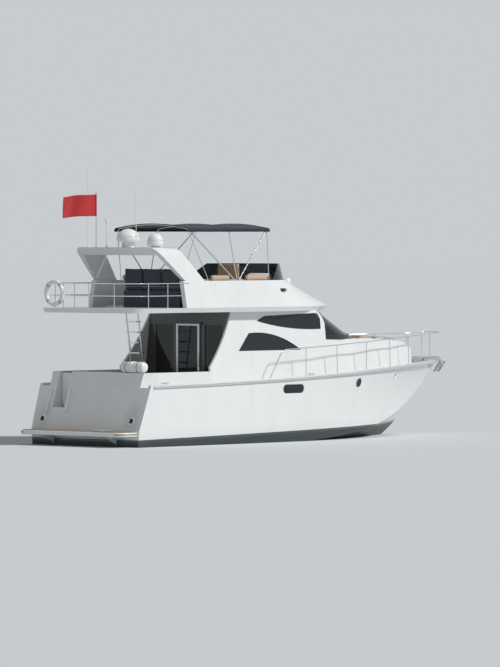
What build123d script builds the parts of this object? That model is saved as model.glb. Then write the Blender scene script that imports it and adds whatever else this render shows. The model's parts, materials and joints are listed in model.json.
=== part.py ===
from build123d import *
import os
from math import atan2, cos, degrees, hypot, pi, radians, sin, tan

# A flybridge motor yacht of about fourteen metres, afloat at rest, in millimetres.
# +X points to the bow, +Y to port and +Z up. The origin is the foot of the transom,
# on the centreline and at the waterline.

# Hull form. Columns: x, keel z, chine half-breadth, chine z, sheer half-breadth,
# sheer z, and how far the middle of the topside stands out from its chord
hull_stations = (
    (0, -540, 1800, -90, 1950, 1540, 15),
    (1200, -570, 1815, -90, 1985, 1560, 17),
    (3400, -620, 1835, -80, 2025, 1600, 20),
    (6000, -650, 1770, -10, 2020, 1680, 5),
    (8600, -600, 1470, 190, 1860, 1800, -40),
    (10700, -230, 870, 590, 1370, 1900, -75),
    (12300, 820, 300, 1200, 690, 1942, -35),
    (13300, 1790, 24, 1860, 60, 1950, 2),
)
chine_flat = 70
deck_camber = 40
transom_kink_z = 400
transom_rake = 480
gunwale_width = 90
gunwale_height = 60
rub_rail_height = 70
rub_rail_proud = 35
rub_rail_drop = 20

# Cockpit and saloon wells, engine room
cockpit_sole_z = 950
cockpit_aft_x = 620
cockpit_half_width = 1560
bulkhead_x = 3800
saloon_sole_z = 1050
saloon_fore_x = 7900
saloon_half_width = 1380
coaming_top_z = 1850
coaming_width = 130
gate_y = 1130
gate_width = 420
gate_thickness = 45
gate_gap = 6
engine_size = (1500, 820, 880)
engine_x = 2150
engine_y = 640
engine_foot_z = -120
engine_room_gap = 20
hatch_gap = 5
engine_hatch_size = (900, 1000)
engine_hatch_x = 2300
hatch_ledge = 30
lid_thickness = 40

# Deckhouse: side walls lean inwards, and the coachroof runs forward from them
house_base_z = 1500
house_base_half = 1650
house_sill_z = 2600
house_top_z = 3350
house_lean = 0.115
house_aft_x = 2900
wall = 60
roof_wall = 50
shoulder_x = 7000
trunk_nose_x = 11600
trunk_narrowing = 900
trunk_slope_x = 9350
trunk_crest_x = 10900
trunk_crest_z = 2500
trunk_end_x = 12350
trunk_end_z = 1850
pillar_x = 7350
screen_base_x = 9300
screen_top_x = 7950
screen_shoulder_low_x = 7900
screen_shoulder_high_x = 6900
wing_foot_z = 1950
wing_top_x = 3850
glass = 12
glass_inset = 8
glass_gap = 0.3
screen_sill = 90
screen_header = 80
mullion = 60
mullion_y = 620

# Flybridge
fly_base_z = 3350
fly_slab = 120
fly_half = 1750
fly_aft_x = 50
fly_corner = 350
fly_shoulder_x = 5400
fly_nose_x = 9000
fly_top_z = 4150
fly_top_half = 1620
fly_top_shoulder_x = 4900
fly_top_nose_x = 6900
fly_nose_radius = 500
coaming_aft_x = 1900
coaming_aft_top_x = 1980
fly_wall = 140
fly_well_fore_x = 5900
fly_sole_z = fly_base_z + fly_slab
deflector_height = 420
deflector_rake = 150
deflector_aft_x = 5300
deflector_glass = 12

# Radar arch, domes and staffs
arch_foot_x = (1980, 2680)
arch_head_x = (1050, 1900)
arch_top_z = 5000
arch_half = 1680
arch_top_half = 1420
arch_leg = 130
arch_beam = 200
arch_corner = 260
radome_radius = 300
radome_height = 330
radome_y = -100
dome_radius = 210
dome_height = 330
dome_y = -1050
staff_x = 1200
staff_y = 620
staff_top_z = 6380
staff_radius = 14
flag_hoist = 550
flag_fly = 1050
aerial_top_z = 7000

# Bimini
bimini_fore_x = 5450
bimini_aft_x = 2400
bimini_half = 1290
bimini_edge_z = 5480
bimini_crown_z = 5670
bimini_pivot_x = 3950
tube_radius = 16
cloth = 10
seat_gap = 0.3

# Running gear
shaft_angle = 10
shaft_y = 760
shaft_radius = 22
propeller_x = 640
propeller_z = -700
propeller_radius = 280
hub_radius = 50
hub_length = 140
blade_count = 4
blade_pitch = 520
rudder_x = 230
rudder_chord = 330
rudder_top_z = -400
rudder_foot_z = -960
stock_radius = 25
running_gap = 0.3

# Rails
rail_radius = 13
rail_height = 720
rail_inset = 45
rail_aft_x = 5200

# Lists of the sheets' own sides
SIDES = (1, -1)


def table_at(x, column):
    """A smooth value of the hull table at x, by a cubic through the stations."""
    rows = hull_stations
    last = len(rows) - 1
    here = max(i for i in range(last) if rows[i][0] <= x or i == 0)

    def slope(i):
        low, high = rows[max(i - 1, 0)], rows[min(i + 1, last)]
        return (high[column] - low[column]) / (high[0] - low[0])

    span = rows[here + 1][0] - rows[here][0]
    t = (x - rows[here][0]) / span
    start, end = rows[here][column], rows[here + 1][column]
    return (
        start * (1 + 2 * t) * (1 - t) ** 2
        + slope(here) * span * t * (1 - t) ** 2
        + end * t * t * (3 - 2 * t)
        + slope(here + 1) * span * t * t * (t - 1)
    )


def sheer_y(x):
    return table_at(x, 4)


def sheer_z(x):
    return table_at(x, 5)


def house_half(z):
    return house_base_half - house_lean * (z - house_base_z)


def finish(builder, name):
    """Labels a piece and writes it as its own file."""
    builder.part.label = name
    export_step(builder.part, f"parts/{name}.step")
    print(name, round(builder.part.volume / 1e6), "litres of solid")


def box_between(low, high):
    """A box from its lowest to its highest corner, in the block that calls it."""
    size = [b - a for a, b in zip(low, high)]
    middle = [(a + b) / 2 for a, b in zip(low, high)]
    with Locations(tuple(middle)):
        Box(*size)


os.makedirs("parts", exist_ok=True)

# The hull with its flat keel line, hard chine and flared bow
widest = max(row[4] for row in hull_stations)
with BuildPart() as hull_form:
    for x, keel_z, chine_y, chine_z, edge_y, edge_z, bulge in hull_stations:
        share = edge_y / widest
        lip_y = chine_y + chine_flat * share
        side = ((lip_y + edge_y) / 2 + bulge, (chine_z + edge_z) / 2)
        with BuildSketch(Plane.YZ.offset(x)):
            with BuildLine():
                Line((0, keel_z), (chine_y, chine_z))
                Line((chine_y, chine_z), (lip_y, chine_z))
                ThreePointArc((lip_y, chine_z), side, (edge_y, edge_z))
                ThreePointArc(
                    (edge_y, edge_z),
                    (0, edge_z + deck_camber * share),
                    (-edge_y, edge_z),
                )
                ThreePointArc((-edge_y, edge_z), (-side[0], side[1]), (-lip_y, chine_z))
                Line((-lip_y, chine_z), (-chine_y, chine_z))
                Line((-chine_y, chine_z), (0, keel_z))
            make_face()
    loft()
    # The transom leans forward above the bathing platform
    with BuildSketch(Plane.XZ):
        with BuildLine():
            Polyline(
                (-200, transom_kink_z),
                (0, transom_kink_z),
                (transom_rake, coaming_top_z),
                (transom_rake, 2600),
                (-200, 2600),
                close=True,
            )
        make_face()
    extrude(amount=2500, both=True, mode=Mode.SUBTRACT)



def inset_deck(x, inset):
    """The half-breadth of the deck inside the gunwale."""
    return sheer_y(x) - inset


def cross_box(builder, low, high):
    """Cuts a box out of the part that calls it."""
    size = [b - a for a, b in zip(low, high)]
    middle = [(a + b) / 2 for a, b in zip(low, high)]
    with Locations(tuple(middle)):
        Box(*size, mode=Mode.SUBTRACT)


# The hull: the form with its deck let in behind the gunwale, and the cockpit,
# saloon and engine room cut out of it
deck_stations = (-100, 1200, 3400, 6000, 8600, 10700, 12200, 12900)
engine_half = engine_size[1] / 2
engine_top_z = engine_foot_z + engine_size[2]
hatch_length, hatch_width = engine_hatch_size
port_lights = (
    # x, z below the sheer, length, height
    (5600, 300, 800, 230),
    (8300, 320, 240, 240),
    (10300, 300, 210, 210),
)
cleat_stations = (900, 6300, 11900)


def port_prism(x, drop, length, height, side, grow=0):
    """The outline of one hull light, as a solid from the hull's skin inwards."""
    z = sheer_z(x) - drop
    with BuildPart() as prism:
        with BuildSketch(Plane.XZ.offset(-side * (sheer_y(x) + 200))):
            with Locations((x, z)):
                if length > height:
                    SlotOverall(length + 2 * grow, height + 2 * grow)
                else:
                    Circle(height / 2 + grow)
        extrude(amount=side * 330)
    return prism.part


shaft_way = Vector(cos(radians(shaft_angle)), 0, sin(radians(shaft_angle)))


def shaft_plane(side, along=0):
    """A plane across the propeller shaft, its normal pointing forwards and up."""
    foot = Vector(propeller_x, side * shaft_y, propeller_z) + shaft_way * along
    return Plane(origin=foot, x_dir=(0, 1, 0), z_dir=shaft_way)


shaft_tube_start = 1650
shaft_tube_length = 500
stock_seat = 140

with BuildPart() as hull:
    add(hull_form.part)
    for x in deck_stations:
        with BuildSketch(Plane.YZ.offset(x)):
            half = inset_deck(max(x, 0), gunwale_width)
            floor_z = sheer_z(max(x, 0)) - gunwale_height
            with Locations((0, floor_z + 300)):
                Rectangle(2 * half, 600)
    loft(mode=Mode.SUBTRACT)
    cross_box(
        hull,
        (cockpit_aft_x, -cockpit_half_width, cockpit_sole_z),
        (house_aft_x + 900, cockpit_half_width, 2600),
    )
    cross_box(
        hull,
        (bulkhead_x, -saloon_half_width, saloon_sole_z),
        (saloon_fore_x, saloon_half_width, 2600),
    )
    # The way through the transom to the bathing platform
    cross_box(
        hull,
        (-200, gate_y - gate_width / 2, cockpit_sole_z),
        (cockpit_aft_x + 10, gate_y + gate_width / 2, 2600),
    )
    # The engine room and the opening over it, with a ledge for the hatch
    room_half = engine_y + engine_half + engine_room_gap
    cross_box(
        hull,
        (engine_x - engine_size[0] / 2 - engine_room_gap, -room_half, engine_foot_z),
        (
            engine_x + engine_size[0] / 2 + engine_room_gap,
            room_half,
            engine_top_z + engine_room_gap,
        ),
    )
    cross_box(
        hull,
        (
            engine_hatch_x - hatch_length / 2 + hatch_ledge,
            -hatch_width / 2 + hatch_ledge,
            engine_top_z,
        ),
        (
            engine_hatch_x + hatch_length / 2 - hatch_ledge,
            hatch_width / 2 - hatch_ledge,
            cockpit_sole_z,
        ),
    )
    for side in SIDES:
        for row in port_lights:
            add(port_prism(*row, side), mode=Mode.SUBTRACT)
        # Stern tube for the shaft and the seat of the rudder stock
        with BuildSketch(shaft_plane(side, shaft_tube_start - 400)):
            Circle(shaft_radius + 6)
        extrude(amount=400 + shaft_tube_length, mode=Mode.SUBTRACT)
        with BuildSketch(Plane.XY.offset(rudder_top_z - 200)):
            with Locations((rudder_x, side * shaft_y)):
                Circle(stock_radius + running_gap)
        extrude(amount=200 + stock_seat + 60, mode=Mode.SUBTRACT)
    # The recess that the engine hatch lies in
    cross_box(
        hull,
        (
            engine_hatch_x - hatch_length / 2 - hatch_gap,
            -hatch_width / 2 - hatch_gap,
            cockpit_sole_z - lid_thickness - seat_gap,
        ),
        (
            engine_hatch_x + hatch_length / 2 + hatch_gap,
            hatch_width / 2 + hatch_gap,
            cockpit_sole_z + 10,
        ),
    )
finish(hull, "hull")

# The rub rail along the sheer, from the transom round the stem
with BuildPart() as rub_rail:
    for x, keel_z, chine_y, chine_z, edge_y, edge_z, bulge in hull_stations:
        start = max(x, 0)
        ahead = rub_rail_proud if x == hull_stations[-1][0] else 0
        with BuildSketch(Plane.YZ.offset(start + ahead)):
            with Locations((0, edge_z - rub_rail_drop - rub_rail_height / 2)):
                RectangleRounded(2 * (edge_y + rub_rail_proud), rub_rail_height, 24)
    loft()
    add(hull_form.part, mode=Mode.SUBTRACT)
    with Locations((transom_rake - 1000, 0, 1500)):
        Box(2000, 5000, 1000, mode=Mode.SUBTRACT)
finish(rub_rail, "rub_rail")


def house_lower(inset):
    """The lower house and coachroof as one solid, its sides drawn in by the inset."""
    with BuildPart() as body:
        for z in (house_base_z, house_sill_z):
            half = house_half(z) - inset
            tip = half - trunk_narrowing
            with BuildSketch(Plane.XY.offset(z)):
                with BuildLine():
                    Line((house_aft_x, half), (shoulder_x, half))
                    port = TangentArc((shoulder_x, half), (trunk_nose_x, tip), tangent=(1, 0))
                    TangentArc(port @ 1, (trunk_nose_x, -tip), tangent=port % 1)
                    TangentArc((shoulder_x, -half), (trunk_nose_x, -tip), tangent=(1, 0))
                    Line((house_aft_x, -half), (shoulder_x, -half))
                    Line((house_aft_x, half), (house_aft_x, -half))
                make_face()
        loft()
    return body.part


def house_upper(inset, front_inset):
    """The window band of the house, with its round raked front."""
    levels = (
        (house_sill_z, screen_shoulder_low_x, screen_base_x),
        (house_top_z, screen_shoulder_high_x, screen_top_x),
    )
    with BuildPart() as body:
        for z, shoulder, nose in levels:
            half = house_half(z) - inset
            with BuildSketch(Plane.XY.offset(z)):
                with BuildLine():
                    Line((house_aft_x, half), (shoulder, half))
                    ThreePointArc((shoulder, half), (nose - front_inset, 0), (shoulder, -half))
                    Line((shoulder, -half), (house_aft_x, -half))
                    Line((house_aft_x, -half), (house_aft_x, half))
                make_face()
        loft()
    return body.part


def slab_between(low, high):
    """A plain box as a solid of its own, to cut or keep with."""
    size = [b - a for a, b in zip(low, high)]
    middle = [(a + b) / 2 for a, b in zip(low, high)]
    with BuildPart() as block:
        with Locations(tuple(middle)):
            Box(*size)
    return block.part


far = 20000
front_wall = 2 * wall
house_outer_low = house_lower(0)
house_inner_low = house_lower(wall)
house_outer_high = house_upper(0, 0)
house_inner_high = house_upper(wall, front_wall)

# The two side windows of each side, drawn on the side view
lens_sill_z = 2350
lens_top_z = 2790
lens_aft_x = 4020
lens_rake = 420
lens_point_x = 6350
upper_point_x = 4780
upper_point_z = 3110
upper_sill_z = 2880
upper_head_z = 3285
upper_fore_x = 7180


def side_windows(grow=0):
    """Both side windows of one side as prisms across the boat."""
    with BuildPart() as prisms:
        with BuildSketch(Plane.XZ.offset(-far / 2)):
            with BuildLine():
                Line((lens_aft_x, lens_sill_z), (lens_point_x, lens_sill_z))
                Line((lens_aft_x, lens_sill_z), (lens_aft_x + lens_rake, lens_top_z))
                ThreePointArc(
                    (lens_aft_x + lens_rake, lens_top_z),
                    (lens_point_x - 900, lens_top_z - 70),
                    (lens_point_x, lens_sill_z),
                )
            make_face()
            with BuildLine():
                Line((upper_point_x, upper_point_z), (upper_point_x + 300, upper_head_z - 60))
                Line((upper_point_x + 300, upper_head_z - 60), (upper_fore_x, upper_head_z))
                Line((upper_fore_x, upper_head_z), (upper_fore_x, upper_sill_z))
                ThreePointArc(
                    (upper_fore_x, upper_sill_z),
                    (upper_fore_x - 1100, upper_sill_z + 30),
                    (upper_point_x, upper_point_z),
                )
            make_face()
            if grow:
                offset(amount=grow, kind=Kind.INTERSECTION)
        extrude(amount=far)
    return prisms.part


window_prisms = side_windows()

# The two sides of the house, each one panel from the side deck to the flybridge
for side, name in ((1, "house_side_port"), (-1, "house_side_starboard")):
    with BuildPart() as house_side:
        add(house_outer_low)
        add(house_outer_high)
        add(house_inner_low, mode=Mode.SUBTRACT)
        add(house_inner_high, mode=Mode.SUBTRACT)
        add(
            slab_between((house_aft_x, min(0, side * far), 0), (pillar_x, max(0, side * far), far)),
            mode=Mode.INTERSECT,
        )
        add(window_prisms, mode=Mode.SUBTRACT)
        # The aft edge sweeps up and forward to the flybridge
        with BuildSketch(Plane.XZ):
            with BuildLine():
                Line((house_aft_x - 100, wing_foot_z), (house_aft_x, wing_foot_z))
                ThreePointArc(
                    (house_aft_x, wing_foot_z),
                    ((house_aft_x + wing_top_x) / 2 + 60, (wing_foot_z + house_top_z) / 2 - 40),
                    (wing_top_x, house_top_z),
                )
                Line((wing_top_x, house_top_z), (wing_top_x, house_top_z + 100))
                Line((wing_top_x, house_top_z + 100), (house_aft_x - 100, house_top_z + 100))
                Line((house_aft_x - 100, house_top_z + 100), (house_aft_x - 100, wing_foot_z))
            make_face()
        extrude(amount=far, both=True, mode=Mode.SUBTRACT)
        add(hull.part, mode=Mode.SUBTRACT)
    finish(house_side, name)

# The coachroof ahead of the house, its top falling to the foredeck
with BuildPart() as coachroof:
    add(house_outer_low)
    add(slab_between((pillar_x, -far, 0), (far, far, far)), mode=Mode.INTERSECT)
    with BuildSketch(Plane.XZ):
        with BuildLine():
            crest = Line((trunk_slope_x, house_sill_z), (trunk_crest_x, trunk_crest_z))
            TangentArc(crest @ 1, (trunk_end_x, trunk_end_z), tangent=crest % 1)
            Line((trunk_end_x, trunk_end_z), (trunk_end_x + 500, trunk_end_z))
            Line((trunk_end_x + 500, trunk_end_z), (trunk_end_x + 500, house_sill_z + 200))
            Line((trunk_end_x + 500, house_sill_z + 200), (trunk_slope_x, house_sill_z + 200))
            Line((trunk_slope_x, house_sill_z + 200), (trunk_slope_x, house_sill_z))
        make_face()
    extrude(amount=far / 4, both=True, mode=Mode.SUBTRACT)
    saloon_bow = slab_between((0, -far, 0), (saloon_fore_x, far, far))
    add(house_inner_low & saloon_bow, mode=Mode.SUBTRACT)
    add(hull.part, mode=Mode.SUBTRACT)
finish(coachroof, "coachroof")

# The windscreen frame: sill, header, two mullions and the corner pillars
screen_foot_z = house_sill_z + screen_sill
screen_head_z = house_top_z - screen_header


def screen_openings(grow=0):
    """The three panes of the windscreen as blocks along the boat."""
    inner_y = mullion_y - mullion / 2
    outer_y = mullion_y + mullion / 2
    panes = (
        (pillar_x + 1000, -inner_y, inner_y),
        (pillar_x + 60, outer_y, 2000),
        (pillar_x + 60, -2000, -outer_y),
    )
    with BuildPart() as blocks:
        for aft, low_y, high_y in panes:
            low = (aft - grow, low_y - grow, screen_foot_z - grow)
            high = (far / 2, high_y + grow, screen_head_z + grow)
            add(slab_between(low, high))
    return blocks.part


with BuildPart() as windscreen_frame:
    add(house_outer_high)
    add(house_inner_high, mode=Mode.SUBTRACT)
    add(slab_between((pillar_x, -far, 0), (far, far, far)), mode=Mode.INTERSECT)
    add(screen_openings(), mode=Mode.SUBTRACT)
finish(windscreen_frame, "windscreen_frame")

screen_skin = house_upper(glass_inset, 2 * glass_inset) - house_upper(glass_inset + glass, 4 * glass_inset + glass)
windscreen = screen_skin & screen_openings(-glass_gap)
with BuildPart() as windscreen_part:
    add(windscreen)
finish(windscreen_part, "windscreen")

house_skin_low = house_lower(glass_inset) - house_lower(glass_inset + glass)
house_skin_high = house_upper(glass_inset, 0) - house_upper(glass_inset + glass, 0)
with BuildPart() as side_glass:
    add(house_skin_low)
    add(house_skin_high)
    add(side_windows(-glass_gap), mode=Mode.INTERSECT)
finish(side_glass, "side_glass")


def fly_block(levels, aft_x, corner=0, tip=0):
    """A closed form between two plan outlines with a rounded bow end.

    Levels: z, half width, where the side starts to turn in, nose x.
    """
    with BuildPart() as body:
        for z, half, shoulder, nose in levels:
            with BuildSketch(Plane.XY.offset(z)) as outline:
                with BuildLine():
                    Line((aft_x, half), (shoulder, half))
                    TangentArc((shoulder, half), (nose, 0), tangent=(1, 0))
                    TangentArc((shoulder, -half), (nose, 0), tangent=(1, 0))
                    Line((aft_x, -half), (shoulder, -half))
                    Line((aft_x, -half), (aft_x, half))
                make_face()
                if tip:
                    fillet(outline.vertices().sort_by(Axis.X)[-1], radius=tip)
                if corner:
                    fillet(outline.vertices().group_by(Axis.X)[0], radius=corner)
        loft()
    return body.part


def fly_well(levels, aft_x, fore_x):
    """The inside of the coaming: the same outlines less the wall, cut square ahead."""
    with BuildPart() as body:
        for z, half, shoulder, nose in levels:
            radius = ((nose - shoulder) ** 2 + half**2) / (2 * half)
            inner = half - fly_wall
            fore_y = half - radius + ((radius - fly_wall) ** 2 - (fore_x - shoulder) ** 2) ** 0.5
            with BuildSketch(Plane.XY.offset(z)):
                with BuildLine():
                    Line((aft_x, inner), (shoulder, inner))
                    TangentArc((shoulder, inner), (fore_x, fore_y), tangent=(1, 0))
                    Line((fore_x, fore_y), (fore_x, -fore_y))
                    TangentArc((shoulder, -inner), (fore_x, -fore_y), tangent=(1, 0))
                    Line((aft_x, -inner), (shoulder, -inner))
                    Line((aft_x, -inner), (aft_x, inner))
                make_face()
        loft()
    return body.part


# The flybridge moulding: a thin deck over the cockpit and saloon, with a coaming
# that runs forward to a low rounded nose over the windscreen
ladder_x = 2560
ladder_y = 1020
ladder_opening = (760, 620)
slab_top_z = fly_base_z + fly_slab
fly_low = (slab_top_z, fly_half, fly_shoulder_x, fly_nose_x)
fly_high = (fly_top_z, fly_top_half, fly_top_shoulder_x, fly_top_nose_x)
with BuildPart() as flybridge:
    slab_levels = (
        (fly_base_z, fly_half - 60, fly_shoulder_x, fly_nose_x - 120),
        (slab_top_z, fly_half, fly_shoulder_x, fly_nose_x),
    )
    add(fly_block(slab_levels, fly_aft_x, fly_corner, fly_nose_radius))
    add(fly_block((fly_low, fly_high), coaming_aft_x, 0, fly_nose_radius))
    add(fly_well((fly_low, fly_high), coaming_aft_x - 500, fly_well_fore_x), mode=Mode.SUBTRACT)
    cross_box(
        flybridge,
        (ladder_x - ladder_opening[0] / 2, ladder_y - ladder_opening[1] / 2, fly_base_z - 10),
        (ladder_x + ladder_opening[0] / 2, ladder_y + ladder_opening[1] / 2, slab_top_z + 10),
    )
finish(flybridge, "flybridge")

# The tinted wind deflector round the front of the coaming
deflector_inset = 50
with BuildPart() as wind_deflector:
    top_half = fly_top_half - deflector_inset
    top_nose = fly_top_nose_x - deflector_inset
    lean = deflector_rake
    for wide, mode in ((0, Mode.ADD), (deflector_glass, Mode.SUBTRACT)):
        levels = (
            (fly_top_z, top_half - wide, fly_top_shoulder_x, top_nose - wide),
            (
                fly_top_z + deflector_height,
                top_half - lean / 2 - wide,
                fly_top_shoulder_x,
                top_nose - lean - wide,
            ),
        )
        add(fly_block(levels, fly_top_shoulder_x - 600, 0, fly_nose_radius - wide), mode=mode)
    with BuildSketch(Plane.XZ):
        with BuildLine():
            Polyline(
                (deflector_aft_x, fly_top_z),
                (deflector_aft_x + 500, fly_top_z + deflector_height),
                (far, fly_top_z + deflector_height),
                (far, fly_top_z),
                close=True,
            )
        make_face()
    extrude(amount=far / 4, both=True, mode=Mode.INTERSECT)
finish(wind_deflector, "wind_deflector")

# The radar arch, raked aft, its feet on the coaming
with BuildPart() as radar_arch:
    with BuildSketch(Plane.XZ):
        with BuildLine():
            Polyline(
                (arch_foot_x[0], fly_top_z),
                (arch_foot_x[1], fly_top_z),
                (arch_head_x[1], arch_top_z),
                (arch_head_x[0], arch_top_z),
                close=True,
            )
        make_face()
    extrude(amount=fly_half, both=True)
    with BuildSketch(Plane.YZ) as arch_front:
        with BuildLine():
            Polyline(
                (fly_top_half, fly_top_z),
                (arch_top_half, arch_top_z),
                (-arch_top_half, arch_top_z),
                (-fly_top_half, fly_top_z),
                close=True,
            )
        make_face()
        fillet(arch_front.vertices().group_by(Axis.Y)[-1], radius=arch_corner)
        with BuildLine():
            Polyline(
                (fly_top_half - arch_leg, fly_top_z),
                (arch_top_half - arch_leg, arch_top_z - arch_beam),
                (-arch_top_half + arch_leg, arch_top_z - arch_beam),
                (-fly_top_half + arch_leg, fly_top_z),
                close=True,
            )
        make_face(mode=Mode.SUBTRACT)
    extrude(amount=far / 2, mode=Mode.INTERSECT)
finish(radar_arch, "radar_arch")

# The two domes on the arch, each on its own pedestal
dome_rows = (
    # x, y, radius, height of the dome, height of the pedestal
    (arch_head_x[0] + 420, radome_y, radome_radius, radome_height, 140),
    (arch_head_x[0] + 420, dome_y, dome_radius, dome_height, 30),
)
with BuildPart() as radomes:
    for x, y, radius, height, pedestal in dome_rows:
        with BuildSketch(Plane(origin=(x, y, arch_top_z), x_dir=(1, 0, 0), z_dir=(0, -1, 0))):
            with BuildLine():
                neck = radius * 0.55
                Line((0, 0), (neck, 0))
                Line((neck, 0), (neck, pedestal))
                brim = pedestal + height * 0.45
                Line((neck, pedestal), (radius - 20, pedestal))
                ThreePointArc(
                    (radius - 20, pedestal),
                    (radius, (pedestal + brim) / 2),
                    (radius - 15, brim),
                )
                TangentArc((0, pedestal + height), (radius - 15, brim), tangent=(1, 0))
                Line((0, pedestal + height), (0, 0))
            make_face()
        revolve(axis=Axis((x, y, arch_top_z), (0, 0, 1)))
finish(radomes, "radomes")


def tube(points, radius, bends):
    """A round tube through the points, with rounded bends, as a solid of its own."""
    start, following = Vector(*points[0]), Vector(*points[1])
    with BuildPart() as pipe:
        with BuildLine() as route:
            if len(points) == 2:
                Line(points[0], points[1])
            else:
                FilletPolyline(*points, radius=bends)
        with BuildSketch(Plane(origin=start, z_dir=following - start)):
            Circle(radius)
        sweep(path=route.line)
    return pipe.part


# The light mast, aerials and the flag staff on the arch
mast_x = arch_head_x[0] + 230
with BuildPart() as aerials:
    with BuildSketch(Plane.XY.offset(arch_top_z)):
        with Locations((mast_x, 480)):
            Circle(24)
        for y in (-560, 1150):
            with Locations((mast_x, y)):
                Circle(16)
    extrude(amount=60)
    with BuildSketch(Plane.XY.offset(arch_top_z)):
        with Locations((mast_x, 1150)):
            Circle(7)
    extrude(amount=aerial_top_z - arch_top_z)
    with BuildSketch(Plane.XY.offset(arch_top_z)):
        with Locations((mast_x, -560)):
            Circle(7)
    extrude(amount=1500)
    with BuildSketch(Plane.XY.offset(arch_top_z)):
        with Locations((mast_x, 480)):
            Circle(14)
    extrude(amount=620)
    with BuildSketch(Plane.XY.offset(arch_top_z + 620)):
        with Locations((mast_x, 480)):
            Circle(34)
    extrude(amount=90)
finish(aerials, "aerials")

with BuildPart() as flag_staff:
    with BuildSketch(Plane.XY.offset(arch_top_z)):
        with Locations((staff_x, staff_y + 160)):
            Circle(staff_radius * 2)
    extrude(amount=50)
    with BuildSketch(Plane.XY.offset(arch_top_z)):
        with Locations((staff_x, staff_y + 160)):
            Circle(staff_radius)
    extrude(amount=staff_top_z - arch_top_z)
    with Locations((staff_x, staff_y + 160, staff_top_z)):
        Sphere(staff_radius * 1.8)
finish(flag_staff, "flag_staff")

# The flag flies aft and a little to port of its staff
flag_top_z = staff_top_z - 40
flag_heading = 168
with BuildPart() as flag:
    flag_root = Plane(
        origin=(staff_x, staff_y + 160, flag_top_z - flag_hoist),
        x_dir=(cos(radians(flag_heading)), sin(radians(flag_heading)), 0),
        z_dir=(0, 0, 1),
    )
    with BuildSketch(flag_root):
        with BuildLine():
            wave = ThreePointArc((staff_radius + cloth / 4 + seat_gap, 0), (flag_fly * 0.25, 70), (flag_fly / 2, 0))
            ThreePointArc(wave @ 1, (flag_fly * 0.75, -80), (flag_fly, 0))
            offset(amount=cloth / 4, side=Side.BOTH)
        make_face()
    extrude(amount=flag_hoist)
finish(flag, "flag")

# The bimini: three hoops on a pivot each side, two stays, and its canopy
bimini_rows = (
    # foot x, head x
    (bimini_pivot_x + 60, bimini_fore_x - 60),
    (bimini_pivot_x, bimini_pivot_x),
    (bimini_pivot_x - 60, bimini_aft_x + 60),
)
hoop_y = fly_top_half - fly_wall / 2
canopy_drop = 90


crown_bend = 6500
corner_bend = 120
canopy_overhang = 60
hoop_corner_y = bimini_half - 40
hoop_corner_z = bimini_edge_z - tube_radius - seat_gap
hoop_crown_z = bimini_crown_z - tube_radius - seat_gap - cloth

with BuildPart() as bimini_frame:
    for foot, head in bimini_rows:
        route = (
            (foot, -hoop_y, fly_top_z),
            (head, -hoop_corner_y, hoop_corner_z),
            (head, 0, hoop_crown_z),
            (head, hoop_corner_y, hoop_corner_z),
            (foot, hoop_y, fly_top_z),
        )
        add(tube(route, tube_radius, (corner_bend, crown_bend, corner_bend)))
    for side in SIDES:
        for foot, head in ((5150, bimini_fore_x - 60), (2900, bimini_aft_x + 60)):
            stay = (
                (foot, side * hoop_y, fly_top_z),
                (head, side * hoop_corner_y, bimini_edge_z - 60),
            )
            add(tube(stay, 10, 0))
    add(flybridge.part, mode=Mode.SUBTRACT)
finish(bimini_frame, "bimini_frame")

# The canopy lies on the hoops, with a short fall of cloth along each side
with BuildPart() as bimini_canopy:
    fall = (hoop_crown_z - hoop_corner_z) / hoop_corner_y
    rise = (tube_radius + seat_gap + cloth / 2) * hypot(1, fall)
    shoulder_y = hoop_corner_y + rise + 20
    with BuildSketch(Plane.YZ.offset(bimini_aft_x)):
        with BuildLine():
            FilletPolyline(
                (-shoulder_y - 20, hoop_corner_z - canopy_overhang),
                (-shoulder_y, hoop_crown_z + rise - fall * shoulder_y),
                (0, hoop_crown_z + rise),
                (shoulder_y, hoop_crown_z + rise - fall * shoulder_y),
                (shoulder_y + 20, hoop_corner_z - canopy_overhang),
                radius=(corner_bend / 2, crown_bend + rise, corner_bend / 2),
            )
            offset(amount=cloth / 2, side=Side.BOTH)
        make_face()
    extrude(amount=bimini_fore_x - bimini_aft_x)
    add(bimini_frame.part, mode=Mode.SUBTRACT)
finish(bimini_canopy, "bimini_canopy")


# Flybridge furniture: an outside helm, its seat, a bench each side and an aft couch
console_aft_x = 5400
console_y = (-1150, -350)
console_top_z = 4080
wheel_radius = 190
wheel_rim = 14
wheel_tilt = 28
wheel_x = console_aft_x - 110
wheel_z = 4060
column_radius = 16
column_length = 290
with BuildPart() as fly_console:
    with BuildSketch(Plane.XZ.offset(-console_y[0])):
        with BuildLine():
            Polyline(
                (console_aft_x + 60, slab_top_z),
                (console_aft_x, slab_top_z + 350),
                (console_aft_x + 140, console_top_z),
                (fly_well_fore_x - 60, console_top_z + 90),
                (fly_well_fore_x - 60, slab_top_z),
                close=True,
            )
        make_face()
    extrude(amount=-(console_y[1] - console_y[0]))
    fillet(fly_console.edges().filter_by(Axis.Y).sort_by(Axis.Z)[-2:], radius=40)
wheel_y = (console_y[0] + console_y[1]) / 2
wheel_way = Vector(-cos(radians(wheel_tilt)), 0, sin(radians(wheel_tilt)))
wheel_plane = Plane(origin=(wheel_x, wheel_y, wheel_z), x_dir=(0, 1, 0), z_dir=wheel_way)
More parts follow.
